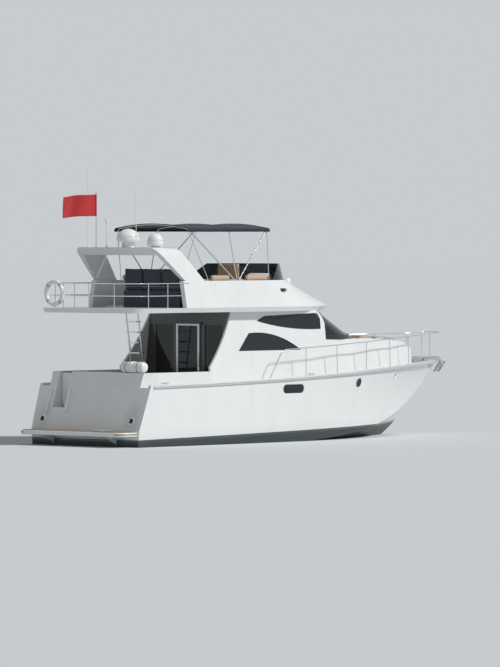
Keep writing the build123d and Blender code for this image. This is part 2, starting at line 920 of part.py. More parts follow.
with BuildPart() as helm_wheel:
    with BuildSketch(Plane(origin=wheel_plane.origin, x_dir=wheel_way, z_dir=(0, 1, 0))) as rim:
        with Locations((0, wheel_radius)):
            Circle(wheel_rim)
    revolve(axis=Axis(wheel_plane.origin, wheel_way))
    with BuildSketch(wheel_plane.offset(-20)):
        Circle(42)
    extrude(amount=36)
    with BuildSketch(wheel_plane.offset(-8)):
        with PolarLocations(wheel_radius / 2, 3, start_angle=90):
            Rectangle(wheel_radius, 26)
    extrude(amount=12)
    with BuildSketch(wheel_plane.offset(-column_length)):
        Circle(column_radius)
    extrude(amount=column_length - 15)
with BuildPart() as fly_console_bored:
    add(fly_console.part)
    with BuildSketch(wheel_plane.offset(-column_length - 20)):
        Circle(column_radius + running_gap)
    extrude(amount=column_length + 20, mode=Mode.SUBTRACT)
finish(fly_console_bored, "fly_console")
finish(helm_wheel, "helm_wheel")

seat_height = 430
seat_depth = 520
cushion = 90
backrest = 110
back_height = 480
bench_rows = (
    # aft x, fore x, side of the boat
    (3050, 4300, -1),
    (3250, 4900, 1),
)
helm_seat_x = (4520, 4980)


def well_half(z):
    """The half-breadth of the flybridge well at a height."""
    share = (z - slab_top_z) / (fly_top_z - slab_top_z)
    return fly_half - fly_wall - share * (fly_half - fly_top_half)


bench_back_y = well_half(fly_top_z) - 5
with BuildPart() as fly_seats:
    for aft, fore, side in bench_rows:
        inner, outer = side * (bench_back_y - seat_depth), side * bench_back_y
        add(
            slab_between(
                (aft, min(inner, outer), slab_top_z), (fore, max(inner, outer), slab_top_z + seat_height)
            )
        )
    add(
        slab_between(
            (helm_seat_x[0], console_y[0] + 60, slab_top_z),
            (helm_seat_x[1], console_y[1], slab_top_z + seat_height + 120),
        )
    )
finish(fly_seats, "fly_seats")

with BuildPart() as fly_cushions:
    base_z = slab_top_z + seat_height + seat_gap
    for aft, fore, side in bench_rows:
        inner = side * (bench_back_y - seat_depth)
        middle = side * (bench_back_y - backrest)
        outer = side * bench_back_y
        add(slab_between((aft, min(inner, middle), base_z), (fore, max(inner, middle), base_z + cushion)))
        low = (aft, min(middle, outer), base_z + cushion + seat_gap)
        add(slab_between(low, (fore, max(middle, outer), fly_top_z + 60)))
    helm_z = base_z + 120
    helm_y = (console_y[0] + 60, console_y[1])
    add(slab_between((helm_seat_x[0], helm_y[0], helm_z), (helm_seat_x[1], helm_y[1], helm_z + cushion)))
    add(
        slab_between(
            (helm_seat_x[0] - backrest + 60, helm_y[0], helm_z + cushion + seat_gap),
            (helm_seat_x[0] + 60, helm_y[1], helm_z + cushion + back_height),
        )
    )
finish(fly_cushions, "fly_cushions")

couch_aft_x = 2020
couch_y = (-1380, 600)
couch_back = 120
couch_top_z = 4470
with BuildPart() as aft_couch:
    add(
        slab_between(
            (couch_aft_x, couch_y[0], slab_top_z),
            (couch_aft_x + couch_back + seat_depth, couch_y[1], slab_top_z + seat_height),
        )
    )
finish(aft_couch, "aft_couch")

with BuildPart() as couch_cushions:
    base_z = slab_top_z + seat_height + seat_gap
    front_x = couch_aft_x + couch_back + seat_depth
    back_x = couch_aft_x + couch_back
    add(slab_between((couch_aft_x, couch_y[0], base_z), (front_x, couch_y[1], base_z + cushion)))
    low = (couch_aft_x, couch_y[0], base_z + cushion + seat_gap)
    add(slab_between(low, (back_x, couch_y[1], couch_top_z)))
finish(couch_cushions, "couch_cushions")

# The rail round the aft end of the flybridge deck
fly_rail_height = 620
fly_rail_inset = 90
fly_rail_z = slab_top_z + fly_rail_height
fly_rail_y = fly_half - fly_rail_inset
fly_rail_aft_x = fly_aft_x + fly_rail_inset
with BuildPart() as fly_rail:
    fore_x = coaming_aft_x + 200
    for height in (fly_rail_height, fly_rail_height / 2):
        z = slab_top_z + height
        route = (
            (fore_x, -fly_rail_y + 30, z),
            (fly_rail_aft_x, -fly_rail_y, z),
            (fly_rail_aft_x, fly_rail_y, z),
            (fore_x, fly_rail_y - 30, z),
        )
        add(tube(route, rail_radius, 300))
    posts = [(fly_rail_aft_x, y) for y in (-900, 0, 900)]
    posts += [(x, side * (fly_rail_y - 8)) for x in (600, 1300) for side in SIDES]
    for x, y in posts:
        with BuildSketch(Plane.XY.offset(slab_top_z)):
            with Locations((x, y)):
                Circle(rail_radius - 2)
        extrude(amount=fly_rail_height)
    add(flybridge.part, mode=Mode.SUBTRACT)
finish(fly_rail, "fly_rail")

# The ladder from the cockpit up through its opening, and the hatch over it
ladder_width = 420
ladder_foot_x = ladder_x + 560
ladder_head_x = ladder_x + 180
tread_count = 8
tread_depth = 170
with BuildPart() as fly_ladder:
    rise = fly_base_z - cockpit_sole_z
    for side in SIDES:
        y = ladder_y + side * ladder_width / 2
        rail = (
            (ladder_foot_x, y, cockpit_sole_z),
            (ladder_head_x, y, fly_base_z),
        )
        add(tube(rail, 20, 0))
    for step in range(1, tread_count + 1):
        share = step / (tread_count + 1)
        x = ladder_foot_x + (ladder_head_x - ladder_foot_x) * share
        z = cockpit_sole_z + rise * share
        add(
            slab_between(
                (x - tread_depth / 2, ladder_y - ladder_width / 2, z - 15),
                (x + tread_depth / 2, ladder_y + ladder_width / 2, z + 15),
            )
        )
    keep = slab_between((0, -far, cockpit_sole_z), (far, far, fly_base_z))
    add(keep, mode=Mode.INTERSECT)
finish(fly_ladder, "fly_ladder")


def lid_and_hinge(low, high, hinge_x, foot_z, pin=7, barrel=12, inner=300):
    """A lid over an opening with a barrel along Y, and its fixed pin and lugs.

    The box is the lid's own, its top face carries the hinge at hinge_x.
    """
    top_z = high[2]
    z = top_z + barrel + 3
    y = (low[1] + high[1]) / 2
    with BuildPart() as lid:
        add(slab_between(low, high))
        with BuildSketch(Plane.XZ.offset(-y - inner / 2)):
            with Locations((hinge_x, z)):
                Circle(barrel)
        extrude(amount=inner)
        leaf_low = (hinge_x - 60, y - inner / 2, top_z)
        add(slab_between(leaf_low, (hinge_x, y + inner / 2, top_z + 6)))
        with BuildSketch(Plane.XZ.offset(-y - far / 2)):
            with Locations((hinge_x, z)):
                Circle(pin + running_gap)
        extrude(amount=far, mode=Mode.SUBTRACT)
    with BuildPart() as fixed:
        for end in SIDES:
            inner_y = y + end * (inner / 2 + 5)
            outer_y = y + end * (inner / 2 + 20)
            lug_low = (hinge_x - 8, min(inner_y, outer_y), foot_z)
            lug_high = (hinge_x + 10, max(inner_y, outer_y), z + pin + 5)
            add(slab_between(lug_low, lug_high))
        with BuildSketch(Plane.XZ.offset(-y - inner / 2 - 20)):
            with Locations((hinge_x, z)):
                Circle(pin)
        extrude(amount=inner + 40)
    return lid, fixed


# The engine hatch in the cockpit sole, hinged at its fore edge
engine_hatch, engine_hatch_pin = lid_and_hinge(
    (engine_hatch_x - hatch_length / 2, -hatch_width / 2, cockpit_sole_z - lid_thickness),
    (engine_hatch_x + hatch_length / 2, hatch_width / 2, cockpit_sole_z),
    engine_hatch_x + hatch_length / 2 + hatch_gap + 8,
    cockpit_sole_z,
)
finish(engine_hatch, "engine_hatch")

# The flybridge hatch lies on the deck over the ladder's opening
fly_hatch_edge = 40
fly_lid_z = slab_top_z + seat_gap
fly_hatch, fly_hatch_pin = lid_and_hinge(
    (
        ladder_x - ladder_opening[0] / 2 - fly_hatch_edge,
        ladder_y - ladder_opening[1] / 2 - fly_hatch_edge,
        fly_lid_z,
    ),
    (
        ladder_x + ladder_opening[0] / 2 + fly_hatch_edge,
        ladder_y + ladder_opening[1] / 2 + fly_hatch_edge,
        fly_lid_z + 30,
    ),
    ladder_x + ladder_opening[0] / 2 + fly_hatch_edge + 20,
    slab_top_z,
)
finish(fly_hatch, "fly_hatch")

# The engines as plain blocks, where their mass is
with BuildPart() as engines:
    for side in SIDES:
        with Locations((engine_x, side * engine_y, engine_foot_z + engine_size[2] / 2)):
            Box(*engine_size)
finish(engines, "engines")

# The bathing platform on its two brackets, and the teak laid on it and in the cockpit
platform_aft_x = -600
platform_top_z = 380
platform_thick = 110
platform_half = 1860
platform_corner = 320
bracket_x = -420
teak = 8
teak_margin = 70
with BuildPart() as swim_platform:
    with BuildSketch(Plane.XY.offset(platform_top_z - platform_thick)) as platform_plan:
        with Locations((platform_aft_x / 2, 0)):
            Rectangle(-platform_aft_x, 2 * platform_half)
        fillet(platform_plan.vertices().group_by(Axis.X)[0], radius=platform_corner)
    extrude(amount=platform_thick)
    fillet(swim_platform.edges().group_by(Axis.X)[0], radius=30)
    for y in (-1100, 1100):
        with BuildSketch(Plane.XZ.offset(-y - 20)):
            with BuildLine():
                Polyline(
                    (0, platform_top_z - platform_thick),
                    (bracket_x, platform_top_z - platform_thick),
                    (0, 60),
                    close=True,
                )
            make_face()
        extrude(amount=40)
    add(hull.part, mode=Mode.SUBTRACT)
finish(swim_platform, "swim_platform")

with BuildPart() as teak_decks:
    with BuildSketch(Plane.XY.offset(platform_top_z)) as platform_teak:
        with Locations((platform_aft_x / 2, 0)):
            Rectangle(-platform_aft_x - teak_margin, 2 * (platform_half - teak_margin))
        fillet(platform_teak.vertices().group_by(Axis.X)[0], radius=platform_corner - teak_margin)
    extrude(amount=teak)
    sole_aft_x = cockpit_aft_x + 560
    with BuildSketch(Plane.XY.offset(cockpit_sole_z)):
        with Locations(((sole_aft_x + bulkhead_x - 60) / 2, 0)):
            Rectangle(bulkhead_x - 60 - sole_aft_x, 2 * (cockpit_half_width - teak_margin))
        with Locations((engine_hatch_x, 0)):
            Rectangle(hatch_length + 110, hatch_width + 30, mode=Mode.SUBTRACT)
        with Locations((ladder_foot_x, ladder_y)):
            Rectangle(160, ladder_width + 120, mode=Mode.SUBTRACT)
    extrude(amount=teak)
finish(teak_decks, "teak_decks")

# The coaming that stands on the side decks and the transom round the cockpit
coaming_half = cockpit_half_width + coaming_width
with BuildPart() as cockpit_coaming:
    with BuildSketch(Plane.XY.offset(house_base_z - 100)) as coaming_plan:
        with BuildLine():
            Polyline(
                (transom_rake - 200, -coaming_half + 120),
                (transom_rake + 400, -coaming_half),
                (house_aft_x, -coaming_half),
                (house_aft_x, coaming_half),
                (transom_rake + 400, coaming_half),
                (transom_rake - 200, coaming_half - 120),
                close=True,
            )
        make_face()
    extrude(amount=coaming_top_z - house_base_z + 100)
    cross_box(
        cockpit_coaming,
        (cockpit_aft_x, -cockpit_half_width, 0),
        (far, cockpit_half_width, far),
    )
    cross_box(
        cockpit_coaming,
        (-far, gate_y - gate_width / 2, 0),
        (far, gate_y + gate_width / 2, far),
    )
    with BuildSketch(Plane.XZ):
        with BuildLine():
            Polyline(
                (0, transom_kink_z),
                (transom_rake, coaming_top_z),
                (transom_rake, coaming_top_z + 200),
                (-500, coaming_top_z + 200),
                (-500, transom_kink_z),
                close=True,
            )
        make_face()
    extrude(amount=far / 4, both=True, mode=Mode.SUBTRACT)
    add(hull.part, mode=Mode.SUBTRACT)
    for one_side in (house_outer_low,):
        add(one_side, mode=Mode.SUBTRACT)
finish(cockpit_coaming, "cockpit_coaming")

# The aft seat of the cockpit, across the transom up to the gate
seat_aft_x = cockpit_aft_x
aft_seat_y = (-cockpit_half_width, gate_y - gate_width / 2 - 60)
aft_seat_height = 400
aft_seat_depth = 500
with BuildPart() as cockpit_seat:
    add(
        slab_between(
            (seat_aft_x, aft_seat_y[0], cockpit_sole_z),
            (seat_aft_x + aft_seat_depth, aft_seat_y[1], cockpit_sole_z + aft_seat_height),
        )
    )
    fillet(cockpit_seat.edges().filter_by(Axis.Y).sort_by(Axis.X)[-1], radius=30)
finish(cockpit_seat, "cockpit_seat")
with BuildPart() as cockpit_cushions:
    base_z = cockpit_sole_z + aft_seat_height + seat_gap
    low = (seat_aft_x + seat_gap, aft_seat_y[0] + seat_gap, base_z)
    add(slab_between(low, (seat_aft_x + aft_seat_depth, aft_seat_y[1], base_z + cushion)))
    low = (low[0], low[1], base_z + cushion + seat_gap)
    add(slab_between(low, (seat_aft_x + backrest, aft_seat_y[1], coaming_top_z - 20)))
finish(cockpit_cushions, "cockpit_cushions")

# The transom gate, hung on two pins at its outboard post
gate_low_z = cockpit_sole_z + 10
gate_hinge_y = gate_y + gate_width / 2 - 30
gate_x = cockpit_aft_x - 80
gate_pin = 8
with BuildPart() as transom_gate:
    inner_y = gate_y - gate_width / 2 + gate_gap
    add(
        slab_between(
            (gate_x - gate_thickness / 2, inner_y, gate_low_z + 20),
            (gate_x + gate_thickness / 2, gate_hinge_y, coaming_top_z - 40),
        )
    )
    with BuildSketch(Plane.XY.offset(gate_low_z + 20)):
        with Locations((gate_x, gate_hinge_y)):
            Circle(gate_thickness / 2 - 2)
    extrude(amount=coaming_top_z - 40 - gate_low_z - 20)
    with BuildSketch(Plane.XY):
        with Locations((gate_x, gate_hinge_y)):
            Circle(gate_pin + running_gap)
    extrude(amount=far / 4, mode=Mode.SUBTRACT)
finish(transom_gate, "transom_gate")
with BuildPart() as gate_pins:
    for low_z, pin_z in ((gate_low_z + 5, gate_low_z + 8), (coaming_top_z - 34, coaming_top_z - 160)):
        with BuildSketch(Plane.XY.offset(min(low_z, pin_z))):
            with Locations((gate_x, gate_hinge_y)):
                Circle(gate_pin)
        extrude(amount=150)
        add(
            slab_between(
                (gate_x - 18, gate_hinge_y - 18, low_z),
                (gate_x + 18, gate_y + gate_width / 2, low_z + 10),
            )
        )

# The aft bulkhead of the saloon, its door track, and the sliding door
door_half = 410
door_head_z = 3020
door_foot_z = saloon_sole_z + 40
door_gap = 6
door_thick = 40
panel_joint = 0.4
pane_y = (560, 1180)
pane_z = (1700, 3000)
track_y = (-door_half - 60, 3 * door_half + 90)
with BuildPart() as aft_bulkhead:
    with BuildSketch(Plane.YZ.offset(bulkhead_x)) as bulkhead_plan:
        with BuildLine():
            low_y = house_half(house_base_z) - wall
            high_y = house_half(fly_base_z) - wall
            Polyline(
                (low_y, house_base_z),
                (high_y, fly_base_z),
                (-high_y, fly_base_z),
                (-low_y, house_base_z),
                close=True,
            )
        make_face()
        with BuildLine():
            Polyline(
                (saloon_half_width, saloon_sole_z),
                (saloon_half_width, house_base_z + 200),
                (-saloon_half_width, house_base_z + 200),
                (-saloon_half_width, saloon_sole_z),
                close=True,
            )
        make_face()
        with Locations((0, (door_foot_z + door_head_z) / 2)):
            Rectangle(2 * door_half - 40, door_head_z - door_foot_z, mode=Mode.SUBTRACT)
        for side in SIDES:
            with Locations((side * (pane_y[0] + pane_y[1]) / 2, (pane_z[0] + pane_z[1]) / 2)):
                Rectangle(pane_y[1] - pane_y[0], pane_z[1] - pane_z[0], mode=Mode.SUBTRACT)
    extrude(amount=60)
    door_out_x = bulkhead_x - door_gap - door_thick - door_gap
    add(slab_between((door_out_x - 10, track_y[0], door_foot_z - 40), (bulkhead_x, track_y[1], door_foot_z - 20)))
    add(slab_between((door_out_x - 10, track_y[0], door_head_z + 40), (bulkhead_x, track_y[1], door_head_z + 60)))
    add(slab_between((door_out_x - 10, track_y[0], door_head_z + 10), (door_out_x, track_y[1], door_head_z + 60)))
    add(slab_between((door_out_x - 10, track_y[0], door_foot_z - 40), (door_out_x, track_y[1], door_foot_z)))
    # The joints between the two side panels and the sill and header of the doorway
    for side in SIDES:
        joint_y = side * (door_half - 20)
        cross_box(aft_bulkhead, (0, joint_y - panel_joint / 2, 0), (far, joint_y + panel_joint / 2, far))
    add(hull.part, mode=Mode.SUBTRACT)
finish(aft_bulkhead, "aft_bulkhead")

with BuildPart() as bulkhead_glass:
    for side in SIDES:
        low = (bulkhead_x + 20, min(side * pane_y[0], side * pane_y[1]), pane_z[0])
        add(slab_between(low, (bulkhead_x + 20 + glass, max(side * pane_y[0], side * pane_y[1]), pane_z[1])))
finish(bulkhead_glass, "bulkhead_glass")

door_low = (bulkhead_x - door_gap - door_thick, -door_half, door_foot_z - 20 + seat_gap)
door_high = (bulkhead_x - door_gap, door_half, door_head_z + 40 - hatch_gap)
stile = 70
with BuildPart() as saloon_door:
    add(slab_between(door_low, door_high))
    cross_box(
        saloon_door,
        (0, door_low[1] + stile, door_low[2] + 2 * stile),
        (far, door_high[1] - stile, door_high[2] - stile),
    )
finish(saloon_door, "saloon_door")
with BuildPart() as saloon_door_glass:
    middle_x = bulkhead_x - door_gap - door_thick / 2
    add(
        slab_between(
            (middle_x - glass / 2, door_low[1] + stile, door_low[2] + 2 * stile),
            (middle_x + glass / 2, door_high[1] - stile, door_high[2] - stile),
        )
    )
finish(saloon_door_glass, "saloon_door_glass")

# Propellers, their shafts and brackets, and the two spade rudders
strut_along = 330
strut_radius = 42
strut_length = 130
blade_rows = (
    # radius, chord, thickness
    (hub_radius - 12, 120, 16),
    (propeller_radius * 0.62, 170, 10),
    (propeller_radius, 70, 5),
)
for side, name in ((1, "port"), (-1, "starboard")):
    hand = side
    axis_plane = shaft_plane(side)
    across = Vector(0, 1, 0)
    with BuildPart() as propeller:
        with BuildSketch(axis_plane.offset(-hub_length / 2)):
            Circle(hub_radius - 10)
        with BuildSketch(axis_plane.offset(hub_length / 2)):
            Circle(hub_radius)
        loft()
        with BuildSketch(axis_plane.offset(-hub_length / 2 - 50)):
            Circle(14)
        with BuildSketch(axis_plane.offset(-hub_length / 2)):
            Circle(hub_radius - 10)
        loft()
    with BuildPart() as blade:
        for radius, chord, thick in blade_rows:
            pitch = degrees(atan2(blade_pitch, 2 * pi * radius)) * hand
            root = axis_plane.origin + across * radius
            slant = axis_plane.z_dir * sin(radians(pitch)) + across.cross(axis_plane.z_dir) * cos(
                radians(pitch)
            )
            with BuildSketch(Plane(origin=root, x_dir=slant, z_dir=across)):
                with BuildLine():
                    ThreePointArc((-chord / 2, 0), (0, thick / 2), (chord / 2, 0))
                    ThreePointArc((-chord / 2, 0), (0, -thick / 2), (chord / 2, 0))
                make_face()
        loft()
    with BuildPart() as whole:
        add(propeller.part)
        for index in range(blade_count):
            turned = blade.part.rotate(Axis(axis_plane.origin, axis_plane.z_dir), index * 360 / blade_count + 20)
            add(turned)
    finish(whole, f"propeller_{name}")
    with BuildPart() as shaft:
        with BuildSketch(axis_plane.offset(hub_length / 2)):
            Circle(shaft_radius)
        extrude(amount=shaft_tube_start + shaft_tube_length - 150 - hub_length / 2)
    finish(shaft, f"shaft_{name}")

with BuildPart() as shaft_brackets:
    for side in SIDES:
        hold = shaft_plane(side, strut_along)
        with BuildSketch(hold.offset(-strut_length / 2)):
            Circle(strut_radius)
        extrude(amount=strut_length)
        with BuildSketch(Plane.XY.offset(hold.origin.Z)):
            with Locations((hold.origin.X, hold.origin.Y)):
                Ellipse(strut_length / 2, 14)
        extrude(amount=500)
        # The stuffing tube where the shaft leaves the hull
        with BuildSketch(shaft_plane(side, shaft_tube_start - 330)):
            Circle(shaft_radius + 22)
        extrude(amount=700)
    for side in SIDES:
        with BuildSketch(shaft_plane(side, -200)):
            Circle(shaft_radius + running_gap)
        extrude(amount=far / 4, mode=Mode.SUBTRACT)
    add(hull.part, mode=Mode.SUBTRACT)
    add(slab_between((-far, -far, -far), (far, far, -150)), mode=Mode.INTERSECT)
finish(shaft_brackets, "shaft_brackets")

for side, name in ((1, "port"), (-1, "starboard")):
    with BuildPart() as rudder:
        for z, chord, thick in ((rudder_foot_z, rudder_chord * 0.8, 26), (rudder_top_z - 30, rudder_chord, 44)):
            with BuildSketch(Plane.XY.offset(z)):
                with BuildLine():
                    fore = rudder_x + chord * 0.3
                    aft = rudder_x - chord * 0.7
                    y = side * shaft_y
                    ThreePointArc((fore, y), (rudder_x, y + thick / 2), (aft, y))
                    ThreePointArc((fore, y), (rudder_x, y - thick / 2), (aft, y))
                make_face()
        loft()
        with BuildSketch(Plane.XY.offset(rudder_top_z - 60)):
            with Locations((rudder_x, side * shaft_y)):
                Circle(stock_radius)
        extrude(amount=60 + stock_seat)
    finish(rudder, f"rudder_{name}")

# Trim tabs under the transom
with BuildPart() as trim_tabs:
    for side in SIDES:
        with BuildSketch(Plane.YZ):
            with BuildLine():
                inner, outer = 1000, 1600
                rate = (hull_stations[0][3] - hull_stations[0][1]) / hull_stations[0][2]
                low = hull_stations[0][1] + 30
                Polyline(
                    (side * inner, low + rate * inner),
                    (side * outer, low + rate * outer),
                    (side * outer, low + rate * outer + 12),
                    (side * inner, low + rate * inner + 12),
                    close=True,
                )
            make_face()
        extrude(amount=-300)
finish(trim_tabs, "trim_tabs")

# Hull lights, flush in their openings
with BuildPart() as hull_lights:
    for side in SIDES:
        for row in port_lights:
            add(port_prism(*row, side) & hull_form.part)
finish(hull_lights, "hull_lights")

# Foredeck: sunpad, deck hatch, windlass, bow roller and anchor
slope = degrees(atan2(trunk_crest_z - house_sill_z, trunk_crest_x - trunk_slope_x))


def trunk_plane(x, lift=0):
    """A plane on the sloping top of the coachroof, its x pointing forwards."""
    z = house_sill_z + (x - trunk_slope_x) * tan(radians(slope))
    up = Vector(-sin(radians(slope)), 0, cos(radians(slope)))
    along = Vector(cos(radians(slope)), 0, sin(radians(slope)))
    return Plane(origin=Vector(x, 0, z) + up * lift, x_dir=along, z_dir=up)


pad_x = (9560, 10120)
pad_half = 700
pad_thick = 80
with BuildPart() as sunpad:
    with BuildSketch(trunk_plane(pad_x[0], seat_gap)):
        for side in SIDES:
            with Locations(((pad_x[1] - pad_x[0]) / 2, side * (pad_half / 2 + 10))):
                RectangleRounded(pad_x[1] - pad_x[0], pad_half, 60)
    extrude(amount=pad_thick)
finish(sunpad, "sunpad")

fore_hatch_x = 10480
fore_hatch_half = 270
fore_hatch_rim = 30
with BuildPart() as hatch_coaming:
    with BuildSketch(trunk_plane(fore_hatch_x)):
        Rectangle(2 * fore_hatch_half, 2 * fore_hatch_half)
        Rectangle(2 * fore_hatch_half - 80, 2 * fore_hatch_half - 80, mode=Mode.SUBTRACT)
    extrude(amount=fore_hatch_rim)
hatch_plane = trunk_plane(fore_hatch_x, fore_hatch_rim)
flat_lid, flat_pin = lid_and_hinge(
    (-fore_hatch_half, -fore_hatch_half, seat_gap),
    (fore_hatch_half - 30, fore_hatch_half, 34),
    fore_hatch_half - 30 + 20,
    0,
)
with BuildPart() as foredeck_hatch:
    add(flat_lid.part.moved(hatch_plane.location))
finish(foredeck_hatch, "foredeck_hatch")
with BuildPart() as hinges:
    add(engine_hatch_pin.part)
    add(fly_hatch_pin.part)
    add(gate_pins.part)
finish(hinges, "hinges")
with BuildPart() as hatch_rim:
    add(hatch_coaming.part)
    add(flat_pin.part.moved(hatch_plane.location))
finish(hatch_rim, "hatch_rim")

deck_fore_z = sheer_z(12650) - gunwale_height
with BuildPart() as windlass:
    with BuildSketch(Plane.XY.offset(deck_fore_z - 100)):
        with Locations((12620, 0)):
            RectangleRounded(260, 200, 30)
    extrude(amount=170)
    with BuildSketch(Plane.XZ.offset(-110)):
        with Locations((12620, deck_fore_z + 110)):
            Circle(70)
    extrude(amount=220)
    add(hull.part, mode=Mode.SUBTRACT)
finish(windlass, "windlass")

roller_z = sheer_z(13300) + 10
stem_x = hull_stations[-1][0]
with BuildPart() as bow_roller:
    for y in (-70, 70):
        with BuildSketch(Plane.XZ.offset(-y - 5)):
            with BuildLine():
                Polyline(
                    (stem_x - 450, roller_z - 60),
                    (stem_x - 450, roller_z + 30),
                    (stem_x + 200, roller_z + 70),
                    (stem_x + 240, roller_z - 20),
                    (stem_x + 60, roller_z - 60),
                    close=True,
                )
            make_face()
        extrude(amount=10)
    for x, z in ((stem_x + 190, roller_z + 10), (stem_x - 60, roller_z + 10)):
        with BuildSketch(Plane.XZ.offset(-75)):
            with Locations((x, z)):
                Circle(28)
        extrude(amount=150)
    add(slab_between((stem_x - 450, -75, roller_z - 60), (stem_x + 60, 75, roller_z - 50)))
    add(hull.part, mode=Mode.SUBTRACT)
    add(rub_rail.part, mode=Mode.SUBTRACT)
finish(bow_roller, "bow_roller")

with BuildPart() as anchor:
    shank_low = (stem_x + 330, roller_z - 90)
    with BuildSketch(Plane.XZ.offset(-12)):
        with BuildLine():
            Polyline(
                (stem_x - 300, roller_z + 38 + seat_gap),
                (stem_x - 300, roller_z + 75),
                (stem_x + 230, roller_z + 80),
                (stem_x + 380, roller_z - 60),
                (stem_x + 330, roller_z - 120),
                (stem_x + 215, roller_z + 38 + seat_gap),
                close=True,
            )
        make_face()
    extrude(amount=24)
    for side in SIDES:
        with BuildSketch(Plane.XZ.offset(-side * 12)):
            with BuildLine():
                Polyline(
                    (stem_x + 390, roller_z - 50),
                    (stem_x + 130, roller_z - 330),
                    (stem_x + 330, roller_z - 130),
                    close=True,
                )
            make_face()
        extrude(amount=-side * 110, taper=0)
finish(anchor, "anchor")

# The pulpit and side rails, one tube round the bow on stanchions
rail_points = []
for x in (rail_aft_x, 6800, 8600, 10400, 11700, 12700):
    rail_points.append((x, sheer_y(x) - rail_inset, sheer_z(x) + rail_height))
rail_points.append((13350, 260, sheer_z(13300) + rail_height + 30))
rail_mouth = rail_points + [(x, -y, z) for x, y, z in reversed(rail_points)]
start_y = sheer_y(rail_aft_x - 500) - rail_inset
start = (rail_aft_x - 500, start_y, sheer_z(rail_aft_x - 500) - 10)
rail_route = [start] + rail_mouth + [(start[0], -start[1], start[2])]
bends = [250] + [900] * 5 + [180, 180] + [900] * 5 + [250]
bends = [250, 2500, 2500, 2500, 1500, 1200, 180, 180, 1200, 1500, 2500, 2500, 2500, 250]
with BuildPart() as bow_rail:
    add(tube(rail_route, rail_radius, bends))
    for x in (6100, 7350, 8600, 9800, 10900, 11900, 12700):
        for side in SIDES:
            foot_y = sheer_y(x) - rail_inset
            foot = (x, side * foot_y, sheer_z(x) - 30)
            aft = max(row for row in rail_points if row[0] <= x)
            ahead = min(row for row in rail_points if row[0] >= x)
            share = 0 if ahead == aft else (x - aft[0]) / (ahead[0] - aft[0])
            head_y = aft[1] + (ahead[1] - aft[1]) * share
            head_z = aft[2] + (ahead[2] - aft[2]) * share
            add(tube((foot, (x, side * head_y, head_z)), rail_radius - 2, 0))
    add(hull.part, mode=Mode.SUBTRACT)
    add(rub_rail.part, mode=Mode.SUBTRACT)
finish(bow_rail, "bow_rail")

with BuildPart() as cleats:
    for x in cleat_stations:
        for side in SIDES:
            y = sheer_y(x) - rail_inset if x != 11900 else sheer_y(x) - 200
            z = sheer_z(x)
            for step in (-50, 50):
                with BuildSketch(Plane.XY.offset(z - 100)):
                    with Locations((x + step, side * y)):
                        Circle(14)
                extrude(amount=140)
            with BuildSketch(Plane.YZ.offset(x - 130)):
                with Locations((side * y, z + 40)):
                    Circle(13)
            extrude(amount=260)
    add(hull.part, mode=Mode.SUBTRACT)
    add(rub_rail.part, mode=Mode.SUBTRACT)
    add(slab_between((0, -far, 1000), (far, far, far)), mode=Mode.INTERSECT)
finish(cleats, "cleats")

# The saloon as it shows through its glass: a sofa to port and the inside helm
with BuildPart() as saloon_sofa:
    sofa_y = saloon_half_width - 20
    add(slab_between((4300, sofa_y - 620, saloon_sole_z), (6700, sofa_y, saloon_sole_z + 430)))
    add(slab_between((4300, sofa_y - 130, saloon_sole_z + 430), (6700, sofa_y, saloon_sole_z + 900)))
finish(saloon_sofa, "saloon_sofa")
with BuildPart() as inside_helm:
    helm_y = -saloon_half_width + 20
    add(slab_between((7300, helm_y, saloon_sole_z), (saloon_fore_x, helm_y + 900, saloon_sole_z + 1050)))
    add(slab_between((6300, helm_y + 150, saloon_sole_z), (6800, helm_y + 750, saloon_sole_z + 700)))
    add(slab_between((6300, helm_y + 150, saloon_sole_z + 700), (6400, helm_y + 750, saloon_sole_z + 1250)))
finish(inside_helm, "inside_helm")

# The lifebuoy on the aft rail
buoy_radius = 290
buoy_tube = 55
buoy_y = 1150
buoy_x = fly_rail_aft_x - rail_radius - seat_gap - buoy_tube
with BuildPart() as lifebuoy:
    buoy_z = slab_top_z + 370
    with BuildSketch(Plane.XZ.offset(-buoy_y)):
        with Locations((buoy_x, buoy_z + buoy_radius)):
            Circle(buoy_tube)
    revolve(axis=Axis((buoy_x, buoy_y, buoy_z), (1, 0, 0)))
finish(lifebuoy, "lifebuoy")
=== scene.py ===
import json
import math

import bmesh
import bpy
from mathutils import Matrix, Vector, noise
from mathutils.bvhtree import BVHTree


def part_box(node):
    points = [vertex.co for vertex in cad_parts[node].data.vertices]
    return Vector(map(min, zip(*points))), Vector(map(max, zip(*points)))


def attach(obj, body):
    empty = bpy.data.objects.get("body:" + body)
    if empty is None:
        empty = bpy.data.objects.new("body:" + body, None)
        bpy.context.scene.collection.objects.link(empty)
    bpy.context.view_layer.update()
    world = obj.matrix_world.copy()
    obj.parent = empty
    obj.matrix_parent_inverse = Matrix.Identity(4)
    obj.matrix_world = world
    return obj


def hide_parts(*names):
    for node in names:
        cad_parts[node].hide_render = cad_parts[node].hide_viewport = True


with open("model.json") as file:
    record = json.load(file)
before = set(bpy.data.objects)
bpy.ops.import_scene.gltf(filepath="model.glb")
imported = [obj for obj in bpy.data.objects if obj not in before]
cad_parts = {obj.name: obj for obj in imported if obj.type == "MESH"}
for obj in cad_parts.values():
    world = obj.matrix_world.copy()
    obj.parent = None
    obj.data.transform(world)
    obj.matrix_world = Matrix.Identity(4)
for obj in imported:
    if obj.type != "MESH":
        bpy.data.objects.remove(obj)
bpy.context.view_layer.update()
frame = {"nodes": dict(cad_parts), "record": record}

nodes = frame["nodes"]
record = frame["record"]
scene = bpy.context.scene
slot_of = {part["node"]: part["material_slot"] for part in record["subparts"]}


# Materials

